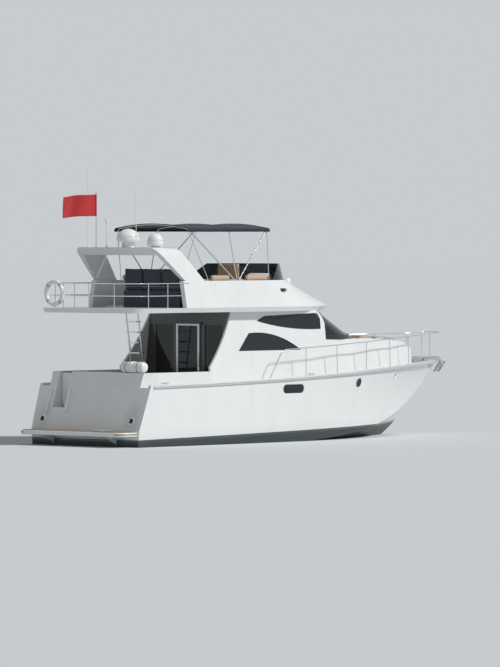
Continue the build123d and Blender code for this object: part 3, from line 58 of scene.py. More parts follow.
class Finish:
    """A node material under construction, with its shader and object coordinates."""

    def __init__(self, name):
        self.material = bpy.data.materials.new(name)
        self.material.use_nodes = True
        self.tree = self.material.node_tree
        self.shader = self.tree.nodes["Principled BSDF"]
        self.place = self.add("ShaderNodeTexCoord").outputs["Object"]

    def add(self, kind, **settings):
        node = self.tree.nodes.new(kind)
        for key, value in settings.items():
            setattr(node, key, value)
        return node

    def link(self, source, target):
        self.tree.links.new(source, target)

    def set(self, **values):
        for key, value in values.items():
            self.shader.inputs[key.replace("_", " ")].default_value = value

    def stretched(self, scale):
        node = self.add("ShaderNodeMapping")
        node.inputs["Scale"].default_value = scale
        self.link(self.place, node.inputs["Vector"])
        return node.outputs["Vector"]

    def noise(self, scale, detail=3, stretch=(1, 1, 1), rough=0.5):
        node = self.add("ShaderNodeTexNoise")
        node.inputs["Scale"].default_value = scale
        node.inputs["Detail"].default_value = detail
        node.inputs["Roughness"].default_value = rough
        self.link(self.stretched(stretch), node.inputs["Vector"])
        return node.outputs["Fac"]

    def ramp(self, source, *stops):
        """Stops: position and a grey value or a colour."""
        node = self.add("ShaderNodeValToRGB")
        band = node.color_ramp
        while len(band.elements) < len(stops):
            band.elements.new(0.5)
        for element, (position, shade) in zip(band.elements, stops):
            element.position = position
            colour = (shade,) * 3 if isinstance(shade, (int, float)) else shade
            element.color = (*colour, 1)
        self.link(source, node.inputs["Fac"])
        return node.outputs["Color"]

    def mix(self, factor, low, high):
        node = self.add("ShaderNodeMix", data_type="RGBA")
        for socket, value in ((0, factor), (6, low), (7, high)):
            if isinstance(value, bpy.types.NodeSocket):
                self.link(value, node.inputs[socket])
            elif socket == 0:
                node.inputs[socket].default_value = value
            else:
                node.inputs[socket].default_value = (*value, 1)
        return node.outputs[2]

    def math(self, operation, *values):
        node = self.add("ShaderNodeMath", operation=operation)
        for index, value in enumerate(values):
            if isinstance(value, bpy.types.NodeSocket):
                self.link(value, node.inputs[index])
            else:
                node.inputs[index].default_value = value
        return node.outputs[0]

    def split(self, vector):
        node = self.add("ShaderNodeSeparateXYZ")
        self.link(vector, node.inputs[0])
        return node.outputs

    def bump(self, height, strength, distance=0.001):
        node = self.add("ShaderNodeBump")
        node.inputs["Strength"].default_value = strength
        node.inputs["Distance"].default_value = distance
        self.link(height, node.inputs["Height"])
        self.link(node.outputs["Normal"], self.shader.inputs["Normal"])

    def facing_up(self, low=0.9, high=0.97):
        geometry = self.add("ShaderNodeNewGeometry")
        up = self.split(geometry.outputs["Normal"])[2]
        return self.ramp(up, (low, 0.0), (high, 1.0))


def gelcoat_on(name, white=(0.8, 0.815, 0.81), shade=(0.74, 0.76, 0.755), nonskid=True):
    """White gelcoat with a faint patchiness, and moulded grip where it faces up."""
    f = Finish(name)
    colour = f.mix(f.noise(0.6, 4), shade, white)
    streaks = f.ramp(f.noise(3, 5, (1, 1, 0.12)), (0.45, 1.0), (0.75, 0.93))
    soiled = f.add("ShaderNodeMix", data_type="RGBA", blend_type="MULTIPLY")
    soiled.inputs[0].default_value = 0.6
    f.link(colour, soiled.inputs[6])
    f.link(streaks, soiled.inputs[7])
    colour = soiled.outputs[2]
    gloss = f.ramp(f.noise(2.5, 3), (0.3, 0.16), (0.7, 0.26))
    if nonskid:
        up = f.facing_up()
        colour = f.mix(up, colour, (0.70, 0.715, 0.70))
        grip = f.add("ShaderNodeTexVoronoi")
        grip.inputs["Scale"].default_value = 130
        f.link(f.place, grip.inputs["Vector"])
        height = f.math("MULTIPLY", grip.outputs["Distance"], up)
        f.bump(height, 0.35, 0.002)
        rough = f.math("MULTIPLY_ADD", up, 0.35, gloss)
        f.link(rough, f.shader.inputs["Roughness"])
    else:
        f.link(gloss, f.shader.inputs["Roughness"])
        f.bump(f.noise(90, 2), 0.03, 0.001)
    f.link(colour, f.shader.inputs["Base Color"])
    f.set(Coat_Weight=0.35, Coat_Roughness=0.08, IOR=1.5)
    return f.material


boot_line_z = 0.13
boot_line_rise = 0.017
boot_stripe = 0.055
line_sharpness = 220
exhaust_y = 1.57
exhaust_z = 0.65
soot_z = 0.72
soot_height_share = 0.7
transom_end_x = 0.3


def hull_paint():
    """White topsides with a little grime and soot, a slate boot stripe and dark antifouling."""
    f = Finish("hull_paint")
    x, y, z = f.split(f.place)
    level = f.math("SUBTRACT", z, f.math("MULTIPLY_ADD", x, boot_line_rise, boot_line_z))
    above = f.math("MULTIPLY_ADD", level, line_sharpness, 0.5)
    above.node.use_clamp = True
    over_stripe = f.math("MULTIPLY_ADD", f.math("SUBTRACT", level, boot_stripe), line_sharpness, 0.5)
    over_stripe.node.use_clamp = True
    topside = f.mix(f.noise(0.5, 4), (0.755, 0.775, 0.77), (0.81, 0.825, 0.82))
    streak = f.ramp(f.noise(2.4, 5, (1, 1, 0.08)), (0.5, 0.0), (0.8, 0.35))
    topside = f.mix(streak, topside, (0.69, 0.705, 0.68))
    scum = f.math("MULTIPLY", f.ramp(level, (0.05, 0.45), (0.3, 0.0)), f.noise(4, 5, (0.5, 0.5, 2)))
    topside = f.mix(scum, topside, (0.55, 0.55, 0.45))
    beside = f.math("SUBTRACT", f.math("ABSOLUTE", y), exhaust_y)
    over = f.math("MULTIPLY", f.math("SUBTRACT", z, soot_z), soot_height_share)
    reach = f.math("SQRT", f.math("ADD", f.math("POWER", beside, 2.0), f.math("POWER", over, 2.0)))
    aft = f.math("LESS_THAN", x, transom_end_x)
    patchy = f.math("MULTIPLY", aft, f.noise(7, 5))
    soot = f.math("MULTIPLY", f.ramp(reach, (0.08, 0.4), (0.36, 0.0)), patchy)
    topside = f.mix(soot, topside, (0.2, 0.2, 0.19))
    bottom = f.mix(f.noise(7, 6, (0.3, 1, 1)), (0.018, 0.026, 0.03), (0.045, 0.058, 0.06))
    stripe = f.mix(over_stripe, (0.05, 0.075, 0.1), topside)
    colour = f.mix(above, bottom, stripe)
    f.link(colour, f.shader.inputs["Base Color"])
    gloss = f.ramp(f.noise(1.8, 3), (0.3, 0.13), (0.7, 0.22))
    matt = f.mix(above, (0.75, 0.75, 0.75), gloss)
    f.link(matt, f.shader.inputs["Roughness"])
    grain = f.math("MULTIPLY", f.noise(160, 4), f.math("SUBTRACT", 1.0, above))
    f.bump(grain, 0.3, 0.002)
    f.set(Coat_Weight=0.3, Coat_Roughness=0.06, IOR=1.5)
    return f.material


def teak_planks():
    """Teak in narrow planks fore and aft, with black caulking between them."""
    f = Finish("teak")
    plank, caulk = 0.055, 0.1
    across = f.math("DIVIDE", f.split(f.place)[1], plank)
    inside = f.math("FRACT", across)
    edge = f.math("LESS_THAN", inside, caulk)
    index = f.math("FLOOR", across)
    tone = f.add("ShaderNodeTexWhiteNoise", noise_dimensions="1D")
    f.link(index, tone.inputs["W"])
    grain = f.noise(28, 6, (0.12, 1.6, 1.6), 0.65)
    wood = f.ramp(
        grain, (0.25, (0.26, 0.145, 0.07)), (0.55, (0.4, 0.235, 0.12)), (0.8, (0.5, 0.32, 0.17)),
    )
    shaded = f.mix(f.math("MULTIPLY", tone.outputs["Value"], 0.4), wood, (0.32, 0.2, 0.11))
    f.link(f.mix(edge, shaded, (0.012, 0.012, 0.012)), f.shader.inputs["Base Color"])
    f.set(Roughness=0.55)
    f.bump(f.math("SUBTRACT", grain, edge), 0.4, 0.001)
    return f.material


def steel(name, colour=(0.72, 0.74, 0.76), low=0.08, high=0.2):
    f = Finish(name)
    f.link(f.mix(f.noise(14, 3), colour, tuple(c * 0.9 for c in colour)), f.shader.inputs["Base Color"])
    f.link(f.ramp(f.noise(30, 4), (0.3, low), (0.75, high)), f.shader.inputs["Roughness"])
    f.set(Metallic=1.0)
    f.bump(f.noise(260, 2), 0.03, 0.0005)
    return f.material


def dark_glass(name="tinted_glass", tint=(0.012, 0.016, 0.019), through=0.25):
    f = Finish(name)
    f.link(f.mix(f.noise(1.3, 2), tint, tuple(c * 1.5 for c in tint)), f.shader.inputs["Base Color"])
    f.link(f.ramp(f.noise(2, 3), (0.3, 0.02), (0.8, 0.07)), f.shader.inputs["Roughness"])
    f.set(Transmission_Weight=through, IOR=1.5, Specular_IOR_Level=0.5)
    f.bump(f.noise(3, 2), 0.02, 0.004)
    return f.material


def vinyl(name, colour, dark):
    """Soft marine vinyl with a fine pebbled grain."""
    f = Finish(name)
    f.link(f.mix(f.noise(3, 5), dark, colour), f.shader.inputs["Base Color"])
    f.link(f.ramp(f.noise(9, 3), (0.3, 0.42), (0.8, 0.6)), f.shader.inputs["Roughness"])
    pebble = f.add("ShaderNodeTexVoronoi")
    pebble.inputs["Scale"].default_value = 380
    f.link(f.place, pebble.inputs["Vector"])
    f.bump(pebble.outputs["Distance"], 0.25, 0.0008)
    f.set(Sheen_Weight=0.15, Sheen_Roughness=0.4)
    return f.material


def woven(name, colour, dark, thread=0.0022, sheen=0.3):
    """Cloth with a plain weave read on its own UV map, in metres."""
    f = Finish(name)
    uv = f.add("ShaderNodeUVMap")
    uv.uv_map = "cloth"
    u, v, _ = f.split(uv.outputs["UV"])
    turn = 2 * math.pi / thread
    warp = f.math("SINE", f.math("MULTIPLY", u, turn))
    weft = f.math("SINE", f.math("MULTIPLY", v, turn))
    weave = f.math("MULTIPLY", warp, weft)
    f.link(f.mix(f.noise(1.7, 5), dark, colour), f.shader.inputs["Base Color"])
    f.bump(weave, 0.25, 0.0006)
    f.set(Roughness=0.82, Sheen_Weight=sheen, Sheen_Roughness=0.5)
    return f.material


def bronze():
    f = Finish("bronze")
    patina = f.ramp(
        f.noise(18, 6),
        (0.4, (0.45, 0.27, 0.12)), (0.62, (0.36, 0.24, 0.13)), (0.8, (0.16, 0.23, 0.19)),
    )
    f.link(patina, f.shader.inputs["Base Color"])
    f.link(f.ramp(f.noise(40, 4), (0.3, 0.25), (0.8, 0.5)), f.shader.inputs["Roughness"])
    f.set(Metallic=0.9)
    f.bump(f.noise(120, 4), 0.12, 0.001)
    return f.material


def plain(name, colour, dark, rough=(0.4, 0.6), scale=12, bump=0.08, metallic=0.0, grain=200):
    """A solid material with a little variation in colour and gloss."""
    f = Finish(name)
    f.link(f.mix(f.noise(scale, 4), dark, colour), f.shader.inputs["Base Color"])
    f.link(f.ramp(f.noise(scale * 2, 3), (0.3, rough[0]), (0.8, rough[1])), f.shader.inputs["Roughness"])
    f.set(Metallic=metallic)
    f.bump(f.noise(grain, 3), bump, 0.001)
    return f.material


def wood_veneer():
    f = Finish("cherry_veneer")
    rings = f.noise(9, 6, (0.4, 4, 4), 0.6)
    wood = f.ramp(rings, (0.3, (0.15, 0.06, 0.025)), (0.6, (0.3, 0.13, 0.06)), (0.85, (0.4, 0.2, 0.1)))
    f.link(wood, f.shader.inputs["Base Color"])
    f.set(Roughness=0.28, Coat_Weight=0.4, Coat_Roughness=0.1)
    f.bump(rings, 0.05, 0.001)
    return f.material


materials = {
    "gelcoat": gelcoat_on("gelcoat"),
    "rub_rail": plain("rub_rail_rubber", (0.62, 0.64, 0.64), (0.5, 0.52, 0.52), (0.35, 0.5)),
    "stainless": steel("stainless"),
    "tinted_glass": dark_glass(),
    "teak": teak_planks(),
    "beige_cushion": vinyl("beige_vinyl", (0.56, 0.41, 0.28), (0.46, 0.32, 0.21)),
    "navy_cushion": vinyl("navy_vinyl", (0.02, 0.028, 0.05), (0.012, 0.017, 0.032)),
    "canvas": woven("navy_canvas", (0.014, 0.018, 0.034), (0.008, 0.011, 0.021), sheen=0.1),
    "flag_cloth": woven("red_bunting", (0.52, 0.018, 0.022), (0.38, 0.01, 0.014), 0.0016),
    "bronze": bronze(),
    "galvanised": plain("galvanised", (0.56, 0.57, 0.58), (0.42, 0.43, 0.44), (0.35, 0.55), 60, 0.15, 0.9),
    "engine_paint": plain("engine_paint", (0.2, 0.25, 0.28), (0.13, 0.17, 0.19), (0.35, 0.5)),
    "white_plastic": plain("white_plastic", (0.83, 0.835, 0.82), (0.76, 0.77, 0.75), (0.2, 0.32)),
    "dark_plastic": plain("dark_plastic", (0.02, 0.021, 0.023), (0.012, 0.013, 0.014), (0.3, 0.5)),
    "wood_trim": wood_veneer(),
    "anodised": steel("anodised", (0.62, 0.63, 0.64), 0.25, 0.38),
}
smooth_gelcoat = gelcoat_on("smooth_gelcoat", nonskid=False)
# Painted shade: a near-black gelcoat for the cockpit's aft bulkhead, standing for the shade under the
# flybridge overhang
painted_shade_gelcoat = gelcoat_on("painted_shade_gelcoat", (0.07, 0.074, 0.078), (0.05, 0.053, 0.056), nonskid=False)
topsides = hull_paint()
own_finish = {
    "hull": topsides,
    "radar_arch": smooth_gelcoat,
    "house_side_port": smooth_gelcoat,
    "house_side_starboard": smooth_gelcoat,
    "transom_gate": smooth_gelcoat,
    # The aft bulkhead takes the near-black gelcoat of painted shade
    "aft_bulkhead": painted_shade_gelcoat,
    # The aft couch's base takes navy vinyl: navy upholstery, and painted shade for the shaded aft end of the
    # flybridge
    "aft_couch": materials["navy_cushion"],
}
for name, node in nodes.items():
    finish = own_finish.get(name) or materials[slot_of[name]]
    node.data.materials.clear()
    node.data.materials.append(finish)


# Shared ways of making a piece

def place_piece(name, mesh, finish, slot, body="boat"):
    piece = bpy.data.objects.new(name, mesh)
    scene.collection.objects.link(piece)
    mesh.materials.clear()
    mesh.materials.append(finish)
    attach(piece, body)
    return piece


def from_bmesh(name, bm, finish, slot, body="boat", crease=35):
    """A finished mesh piece: shaded smooth, sharp where its faces turn more."""
    mesh = bpy.data.meshes.new(name)
    bm.to_mesh(mesh)
    bm.free()
    mesh.shade_smooth()
    mesh.set_sharp_from_angle(angle=math.radians(crease))
    return place_piece(name, mesh, finish, slot, body)


def rounded_box(bm, low, high, radius=0.01, segments=3):
    """Adds a box with rounded edges between two corners."""
    low, high = Vector(low), Vector(high)
    made = bmesh.ops.create_cube(bm, size=1.0)
    corners = made["verts"]
    bmesh.ops.scale(bm, vec=high - low, verts=corners)
    bmesh.ops.translate(bm, vec=(low + high) / 2, verts=corners)
    if radius:
        edges = list({edge for corner in corners for edge in corner.link_edges})
        bmesh.ops.bevel(
            bm, geom=edges, offset=radius, offset_type="OFFSET", segments=segments,
            profile=0.5, affect="EDGES", material=-1, clamp_overlap=True,
        )
    return corners


# Camera, floor and light

view_azimuth = math.radians(-47)
camera_distance = 150
camera_height = 5.5
camera_lens = 312
target = Vector((6.1, 0.0, 2.75))
toward = Vector((math.sin(view_azimuth), -math.cos(view_azimuth), 0))
camera_data = bpy.data.cameras.new("camera")
camera_data.lens = camera_lens
camera_data.clip_end = 2000
camera = bpy.data.objects.new("camera", camera_data)
camera.location = target + toward * camera_distance
camera.location.z = camera_height
camera.rotation_mode = "QUATERNION"
camera.rotation_quaternion = (target - camera.location).to_track_quat("-Z", "Y")
scene.collection.objects.link(camera)
scene.camera = camera

floor_radius = 700
floor_grey = (0.567, 0.6035, 0.6246)
floor_paint = (0.68, 0.705, 0.72)


def paper_floor():
    f = Finish("paper_floor")
    paint = f.mix(f.noise(0.02, 2), floor_paint, tuple(c * 0.985 for c in floor_paint))
    f.link(paint, f.shader.inputs["Base Color"])
    f.set(Roughness=0.9, Specular_IOR_Level=0.0)
    return f.material


disc = bmesh.new()
bmesh.ops.create_circle(disc, cap_ends=True, segments=96, radius=floor_radius)
bmesh.ops.translate(disc, vec=(6.3, 0, 0), verts=disc.verts)
floor_mesh = bpy.data.meshes.new("floor")
disc.to_mesh(floor_mesh)
disc.free()
floor = bpy.data.objects.new("floor", floor_mesh)
floor_mesh.materials.append(paper_floor())
scene.collection.objects.link(floor)


def lamp(name, kind, turn, strength, colour=(1, 1, 1), spread=0.2):
    data = bpy.data.lights.new(name, kind)
    data.energy = strength
    data.color = colour
    data.angle = spread
    light = bpy.data.objects.new(name, data)
    light.rotation_euler = [math.radians(t) for t in turn]
    scene.collection.objects.link(light)


lamp("key", "SUN", (48, 0, 20), 2.65, (1.0, 0.985, 0.96), 0.12)
world = bpy.data.worlds.new("studio")
scene.world = world
world.use_nodes = True
air = world.node_tree
air.nodes.clear()
out = air.nodes.new("ShaderNodeOutputWorld")
lit = air.nodes.new("ShaderNodeBackground")
lit.inputs["Color"].default_value = (0.86, 0.93, 1.0, 1)
lit.inputs["Strength"].default_value = 0.32
seen = air.nodes.new("ShaderNodeBackground")
seen.inputs["Color"].default_value = (*floor_grey, 1)
seen.inputs["Strength"].default_value = 1.0
path = air.nodes.new("ShaderNodeLightPath")
either = air.nodes.new("ShaderNodeMath")
either.operation = "MAXIMUM"
any_ray = air.nodes.new("ShaderNodeMath")
any_ray.operation = "MAXIMUM"
blend = air.nodes.new("ShaderNodeMixShader")
air.links.new(path.outputs["Is Camera Ray"], either.inputs[0])
air.links.new(path.outputs["Is Glossy Ray"], either.inputs[1])
air.links.new(either.outputs[0], any_ray.inputs[0])
air.links.new(path.outputs["Is Transmission Ray"], any_ray.inputs[1])
air.links.new(any_ray.outputs[0], blend.inputs[0])
air.links.new(lit.outputs[0], blend.inputs[1])
air.links.new(seen.outputs[0], blend.inputs[2])
air.links.new(blend.outputs[0], out.inputs["Surface"])
scene.view_settings.view_transform = "Standard"


# Soft pieces

def solids_of(name):
    """The separate solids of a CAD node, each as a list of its corner points."""
    bm = bmesh.new()
    bm.from_mesh(nodes[name].data)
    bmesh.ops.remove_doubles(bm, verts=bm.verts, dist=1e-5)
    left = set(bm.verts)
    found = []
    while left:
        front = [left.pop()]
        group = list(front)
        while front:
            corner = front.pop()
            for edge in corner.link_edges:
                other = edge.other_vert(corner)
                if other in left:
                    left.remove(other)
                    front.append(other)
                    group.append(other)
        found.append([corner.co.copy() for corner in group])
    bm.free()
    return sorted(found, key=lambda group: tuple(round(value, 3) for value in group_box(group)[0]))


def group_box(points):
    low = Vector([min(point[axis] for point in points) for axis in range(3)])
    high = Vector([max(point[axis] for point in points) for axis in range(3)])
    return low, high


def mesh_of(thing):
    """The mesh that an object shows, with its modifiers and bevels applied."""
    bpy.context.view_layer.update()
    seen = thing.evaluated_get(bpy.context.evaluated_depsgraph_get())
    return bpy.data.meshes.new_from_object(seen)


def tube_mesh(points, radius, closed=False, smooth=True, sides=3):
    """A round tube along a line, as a mesh."""
    line = bpy.data.curves.new("line", "CURVE")
    line.dimensions = "3D"
    line.bevel_depth = radius
    line.bevel_resolution = sides
    line.use_fill_caps = not closed
    spline = line.splines.new("NURBS" if smooth else "POLY")
    spline.points.add(len(points) - 1)
    for point, place in zip(spline.points, points):
        point.co = (*place, 1)
    if smooth:
        spline.order_u = 3
        spline.use_endpoint_u = not closed
        spline.resolution_u = 4
    spline.use_cyclic_u = closed
    holder = bpy.data.objects.new("line", line)
    scene.collection.objects.link(holder)
    made = mesh_of(holder)
    bpy.data.objects.remove(holder)
    bpy.data.curves.remove(line)
    return made


def joined(meshes):
    """Several meshes as one bmesh."""
    bm = bmesh.new()
    for mesh in meshes:
        bm.from_mesh(mesh)
        bpy.data.meshes.remove(mesh)
    return bm


pad_inset = 0.01
pad_voxel = 0.021
pad_frames = 20
pad_pressure = 4.0
pad_swell = 0.016
pad_gap = 0.002
welt_radius = 0.0045
welt_depth = 0.016
welt_points = 72


def swollen(size, swell):
    """A pad's mesh about its own middle: a soft box, blown out a little as cloth."""
    bm = bmesh.new()
    half = Vector(size) / 2 - Vector((pad_inset,) * 3)
    rounded_box(bm, -half, half, min(half) * 0.55, 3)
    mesh = bpy.data.meshes.new("pad")
    bm.to_mesh(mesh)
    bm.free()
    pad = bpy.data.objects.new("pad", mesh)
    scene.collection.objects.link(pad)
    remesh = pad.modifiers.new("remesh", "REMESH")
    remesh.mode = "VOXEL"
    remesh.voxel_size = pad_voxel
    soft = mesh_of(pad)
    pad.modifiers.clear()
    pad.data = soft
    before = [corner.co.copy() for corner in soft.vertices]
    cloth = pad.modifiers.new("cloth", "CLOTH")
    cloth.settings.use_pressure = True
    cloth.settings.uniform_pressure_force = pad_pressure
    cloth.settings.quality = 4
    cloth.settings.effector_weights.gravity = 0
    for step in range(1, pad_frames + 1):
        scene.frame_set(step)
    after = mesh_of(pad)
    scene.frame_set(1)
    pad.modifiers.clear()
    for corner, start in zip(after.vertices, before):
        move = corner.co - start
        if move.length > swell:
            corner.co = start + move * (swell / move.length)
    bpy.data.objects.remove(pad)
    return after


pad_store = {}


def cushion(name, low, high, finish, slot, body="boat", turn=None, swell=pad_swell, welt=True):
    """One pad between two corners, with a welt sewn round its broad face."""
    low, high = Vector(low), Vector(high)
    size = high - low
    key = tuple(round(value, 3) for value in size)
    if key not in pad_store:
        pad_store[key] = swollen(size, swell)
    mesh = pad_store[key].copy()
    thin = min(range(3), key=lambda axis: size[axis])
    mesh.transform(Matrix.Translation((low + high) / 2))
    if turn is not None:
        mesh.transform(turn)
    mesh.shade_smooth()
    piece = place_piece(name, mesh, finish, slot, body)
    smooth = piece.modifiers.new("smooth", "SUBSURF")
    smooth.levels = smooth.render_levels = 1
    if welt:
        wide = [axis for axis in range(3) if axis != thin]
        half = size / 2
        surface = BVHTree.FromPolygons(
            [corner.co for corner in mesh.vertices], [list(face.vertices) for face in mesh.polygons],
        )
        loops = []
        for side in (-1, 1):
            points = []
            for index in range(welt_points):
                angle = 2 * math.pi * index / welt_points
                place = [0, 0, 0]
                run = (math.cos(angle), math.sin(angle))
                reach = max(abs(run[0]) / half[wide[0]], abs(run[1]) / half[wide[1]])
                for axis, part in zip(wide, run):
                    edge = half[axis] - pad_inset
                    place[axis] = max(-edge, min(edge, part / reach))
                place[thin] = side * (half[thin] - welt_depth)
                spot = (low + high) / 2 + Vector(place)
                if turn is not None:
                    spot = turn @ spot
                points.append(surface.find_nearest(spot)[0])
            loops.append(tube_mesh(points, welt_radius, closed=True, sides=2))
        bm = joined(loops)
        welting = from_bmesh(name + "_welt", bm, finish, slot, body, crease=80)
    return piece


def split_run(low, high, axis, length):
    """Divides a box along an axis into equal pads of about a length."""
    count = max(1, round((high[axis] - low[axis]) / length))
    step = (high[axis] - low[axis]) / count
    for index in range(count):
        a, b = Vector(low), Vector(high)
        a[axis] = low[axis] + step * index + pad_gap
        b[axis] = low[axis] + step * (index + 1) - pad_gap
        yield a, b


def pads_for(node, pad_length=0.62):
    """Replaces a node's plain solids by pads, divided along their length."""
    slot = slot_of[node]
    for row, solid in enumerate(solids_of(node)):
        low, high = group_box(solid)
        size = high - low
        along = max((0, 1), key=lambda axis: size[axis])
        for index, (a, b) in enumerate(split_run(low, high, along, pad_length)):
            cushion(f"{node}_{row}_{index}", a, b, materials[slot], slot)
    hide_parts(node)


for node in ("fly_cushions", "couch_cushions", "cockpit_cushions"):
    pads_for(node)

# Padded bolsters on the flybridge coaming, ahead of and behind the bimini's pivots
coaming_top_z = 4.15
bolster_z = (coaming_top_z - 0.007, coaming_top_z + 0.145)
bolster_y = (1.486, 1.616)
bolster_x = ((2.98, 3.64), (4.27, 5.07))
for side, name in ((-1, "starboard"), (1, "port")):
    low_y, high_y = sorted(side * y for y in bolster_y)
    for index, (start_x, end_x) in enumerate(bolster_x):
        cushion(
            f"coaming_bolster_{name}_{index}",
            (start_x, low_y, bolster_z[0]), (end_x, high_y, bolster_z[1]),
            materials["beige_cushion"], "beige_cushion", swell=0.009, welt=False,
        )

# The sunpad, in two lengthwise pads each side, on the slope of the coachroof
sun_pads = []
for pad_solid in solids_of("sunpad"):
    fore_top = max(pad_solid, key=lambda point: (round(point.x, 3), point.z))
    aft_top = max(pad_solid, key=lambda point: (round(point.z, 3), point.x))
    fall_angle = math.atan2(aft_top.z - fore_top.z, fore_top.x - aft_top.x)
    pivot = Matrix.Translation(aft_top)
    lean = pivot @ Matrix.Rotation(fall_angle, 4, "Y") @ pivot.inverted()
    level_low, level_high = group_box([lean.inverted() @ point for point in pad_solid])
    for a, b in split_run(level_low, level_high, 1, 0.35):
        name = f"sunpad_{len(sun_pads)}"
        sun_pads.append(cushion(name, a, b, materials["beige_cushion"], "beige_cushion", turn=lean))
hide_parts("sunpad")


def cloth_uv(bm, width, length, across, along):
    """A UV map in metres over a grid whose corners run row by row."""
    layer = bm.loops.layers.uv.new("cloth")
    for face in bm.faces:
        for loop in face.loops:
            column, row = loop.vert.index % (across + 1), loop.vert.index // (across + 1)
            loop[layer].uv = (width * column / across, length * row / along)


def cloth_sheet(name, bm, finish, slot, thick=0.0016):
    mesh = bpy.data.meshes.new(name)
    bm.to_mesh(mesh)
    bm.free()
    mesh.shade_smooth()
    piece = place_piece(name, mesh, finish, slot)
    skin = piece.modifiers.new("skin", "SOLIDIFY")
    skin.thickness = thick
    skin.offset = 0
    return piece


# The canopy, stretched over its three hoops with a short fall along each side
canopy_low, canopy_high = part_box("bimini_canopy")
canopy_length = canopy_high[0] - canopy_low[0]
canopy_half = canopy_high[1]
canopy_fall = 0.085
canopy_sink = 0.004
canopy_probe_x = 3.2
hoop_inset = 0.06
middle_hoop_x = 3.95
over_all_z = 9
hoop_x = (canopy_low[0] + hoop_inset, middle_hoop_x, canopy_high[0] - hoop_inset)
canopy_skin = BVHTree.FromObject(nodes["bimini_canopy"], bpy.context.evaluated_depsgraph_get())
across, along = 64, 96
shoulder = canopy_half - 0.03
sheet = bmesh.new()
bmesh.ops.create_grid(sheet, x_segments=across, y_segments=along, size=0.5)
sheet.verts.ensure_lookup_table()


def canopy_top(y):
    """The height of the canopy's solid above a place across the yacht."""
    return canopy_skin.ray_cast(Vector((canopy_probe_x, y, over_all_z)), Vector((0, 0, -1)))[0].z


profile = []
for column in range(across + 1):
    share = 2 * column / across - 1
    span = abs(share) * (shoulder + canopy_fall)
    if span <= shoulder:
        profile.append((math.copysign(span, share), canopy_top(span) - canopy_sink))
    else:
        fallen = span - shoulder
        curl = min(1, fallen / 0.03)
        z = canopy_top(shoulder) - canopy_sink - max(0, fallen - 0.01)
        profile.append((math.copysign(shoulder + 0.018 * curl, share), z))
for corner in sheet.verts:
    column, row = corner.index % (across + 1), corner.index // (across + 1)
    y, z = profile[column]
    x = canopy_low[0] + 0.002 + (canopy_length - 0.004) * row / along
    between = 0
    for start, end in zip(hoop_x, hoop_x[1:]):
        if start < x < end:
            between = math.sin(math.pi * (x - start) / (end - start))
    middle = max(0, 1 - (abs(y) / shoulder) ** 4)
    sag = 0.028 * between ** 1.5 * middle
    pull = noise.noise(Vector((x * 1.3, y * 9, 0.4))) * 0.006 * between * (0.4 + abs(y) / shoulder)
    ripple = 0
    if abs(y) > shoulder - 0.01:
        ripple = 0.006 * math.sin(x * 13) * between
    corner.co = (x, y + math.copysign(ripple, y), z - sag + pull)
canopy_width = 2 * (shoulder + canopy_fall)
cloth_uv(sheet, canopy_width, canopy_length, across, along)
canopy = cloth_sheet("canopy_cloth", sheet, materials["canvas"], "canvas")
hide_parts("bimini_canopy")
seam_meshes = []
for x in hoop_x:
    for shift in (-0.045, 0.045):
        place = x + shift
        if canopy_low[0] < place < canopy_high[0]:
            points = [(place, y, z + 0.0012) for y, z in profile]
            seam_meshes.append(tube_mesh(points, 0.0016, smooth=False, sides=1))
for x in (canopy_low[0] + 0.004, canopy_high[0] - 0.004):
    seam_meshes.append(tube_mesh([(x, y, z) for y, z in profile], 0.004, smooth=False, sides=2))
for y, z in (profile[0], profile[-1]):
    edge = [(canopy_low[0] + canopy_length * step / 40, y, z) for step in range(41)]
    seam_meshes.append(tube_mesh(edge, 0.004, smooth=False, sides=2))
hems = from_bmesh("canopy_hems", joined(seam_meshes), materials["canvas"], "canvas", crease=80)

# The flag streams aft from its staff in a few slack waves
flag_low, flag_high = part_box("flag")
flag_hoist = flag_high[2] - flag_low[2]
flag_length = 1.05
staff_x, staff_y = 1.2, 0.78
flag_root = Vector((staff_x, staff_y, 0))
flag_way = Vector((math.cos(math.radians(168)), math.sin(math.radians(168)), 0))
flag_side = Vector((-flag_way.y, flag_way.x, 0))
rows, columns = 30, 60
bunting = bmesh.new()
bmesh.ops.create_grid(bunting, x_segments=columns, y_segments=rows, size=0.5)
bunting.verts.ensure_lookup_table()


def flag_wave(u, v):
    """How far the cloth stands aside at a share of its length and of its hoist."""
    slow = 0.07 * u ** 0.8 * math.sin(7.2 * u - 0.5 + 1.1 * (v - 0.5))
    return slow + 0.02 * u * math.sin(15 * u + 3 * v)


for corner in bunting.verts:
    column, row = corner.index % (columns + 1), corner.index // (columns + 1)
    u, v = column / columns, row / rows
    out = 0.018 + 0.955 * flag_length * u
    droop = 0.05 * u * u + 0.012 * math.sin(9 * u) * u
    z = flag_low[2] + flag_hoist * v * (1 - 0.03 * u) - droop
    corner.co = flag_root + flag_way * out + flag_side * flag_wave(u, v) + Vector((0, 0, z))
cloth_uv(bunting, flag_length, flag_hoist, columns, rows)
flag = cloth_sheet("flag_bunting", bunting, materials["flag_cloth"], "flag_cloth", 0.0008)
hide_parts("flag")
sleeve_line = [(staff_x, staff_y, flag_low[2] + flag_hoist * share) for share in (0.0, 0.5, 1.0)]
heading = tube_mesh(sleeve_line, 0.019, smooth=False)
sleeve = from_bmesh("flag_sleeve", joined([heading]), materials["flag_cloth"], "flag_cloth", crease=80)


# Trim and fittings

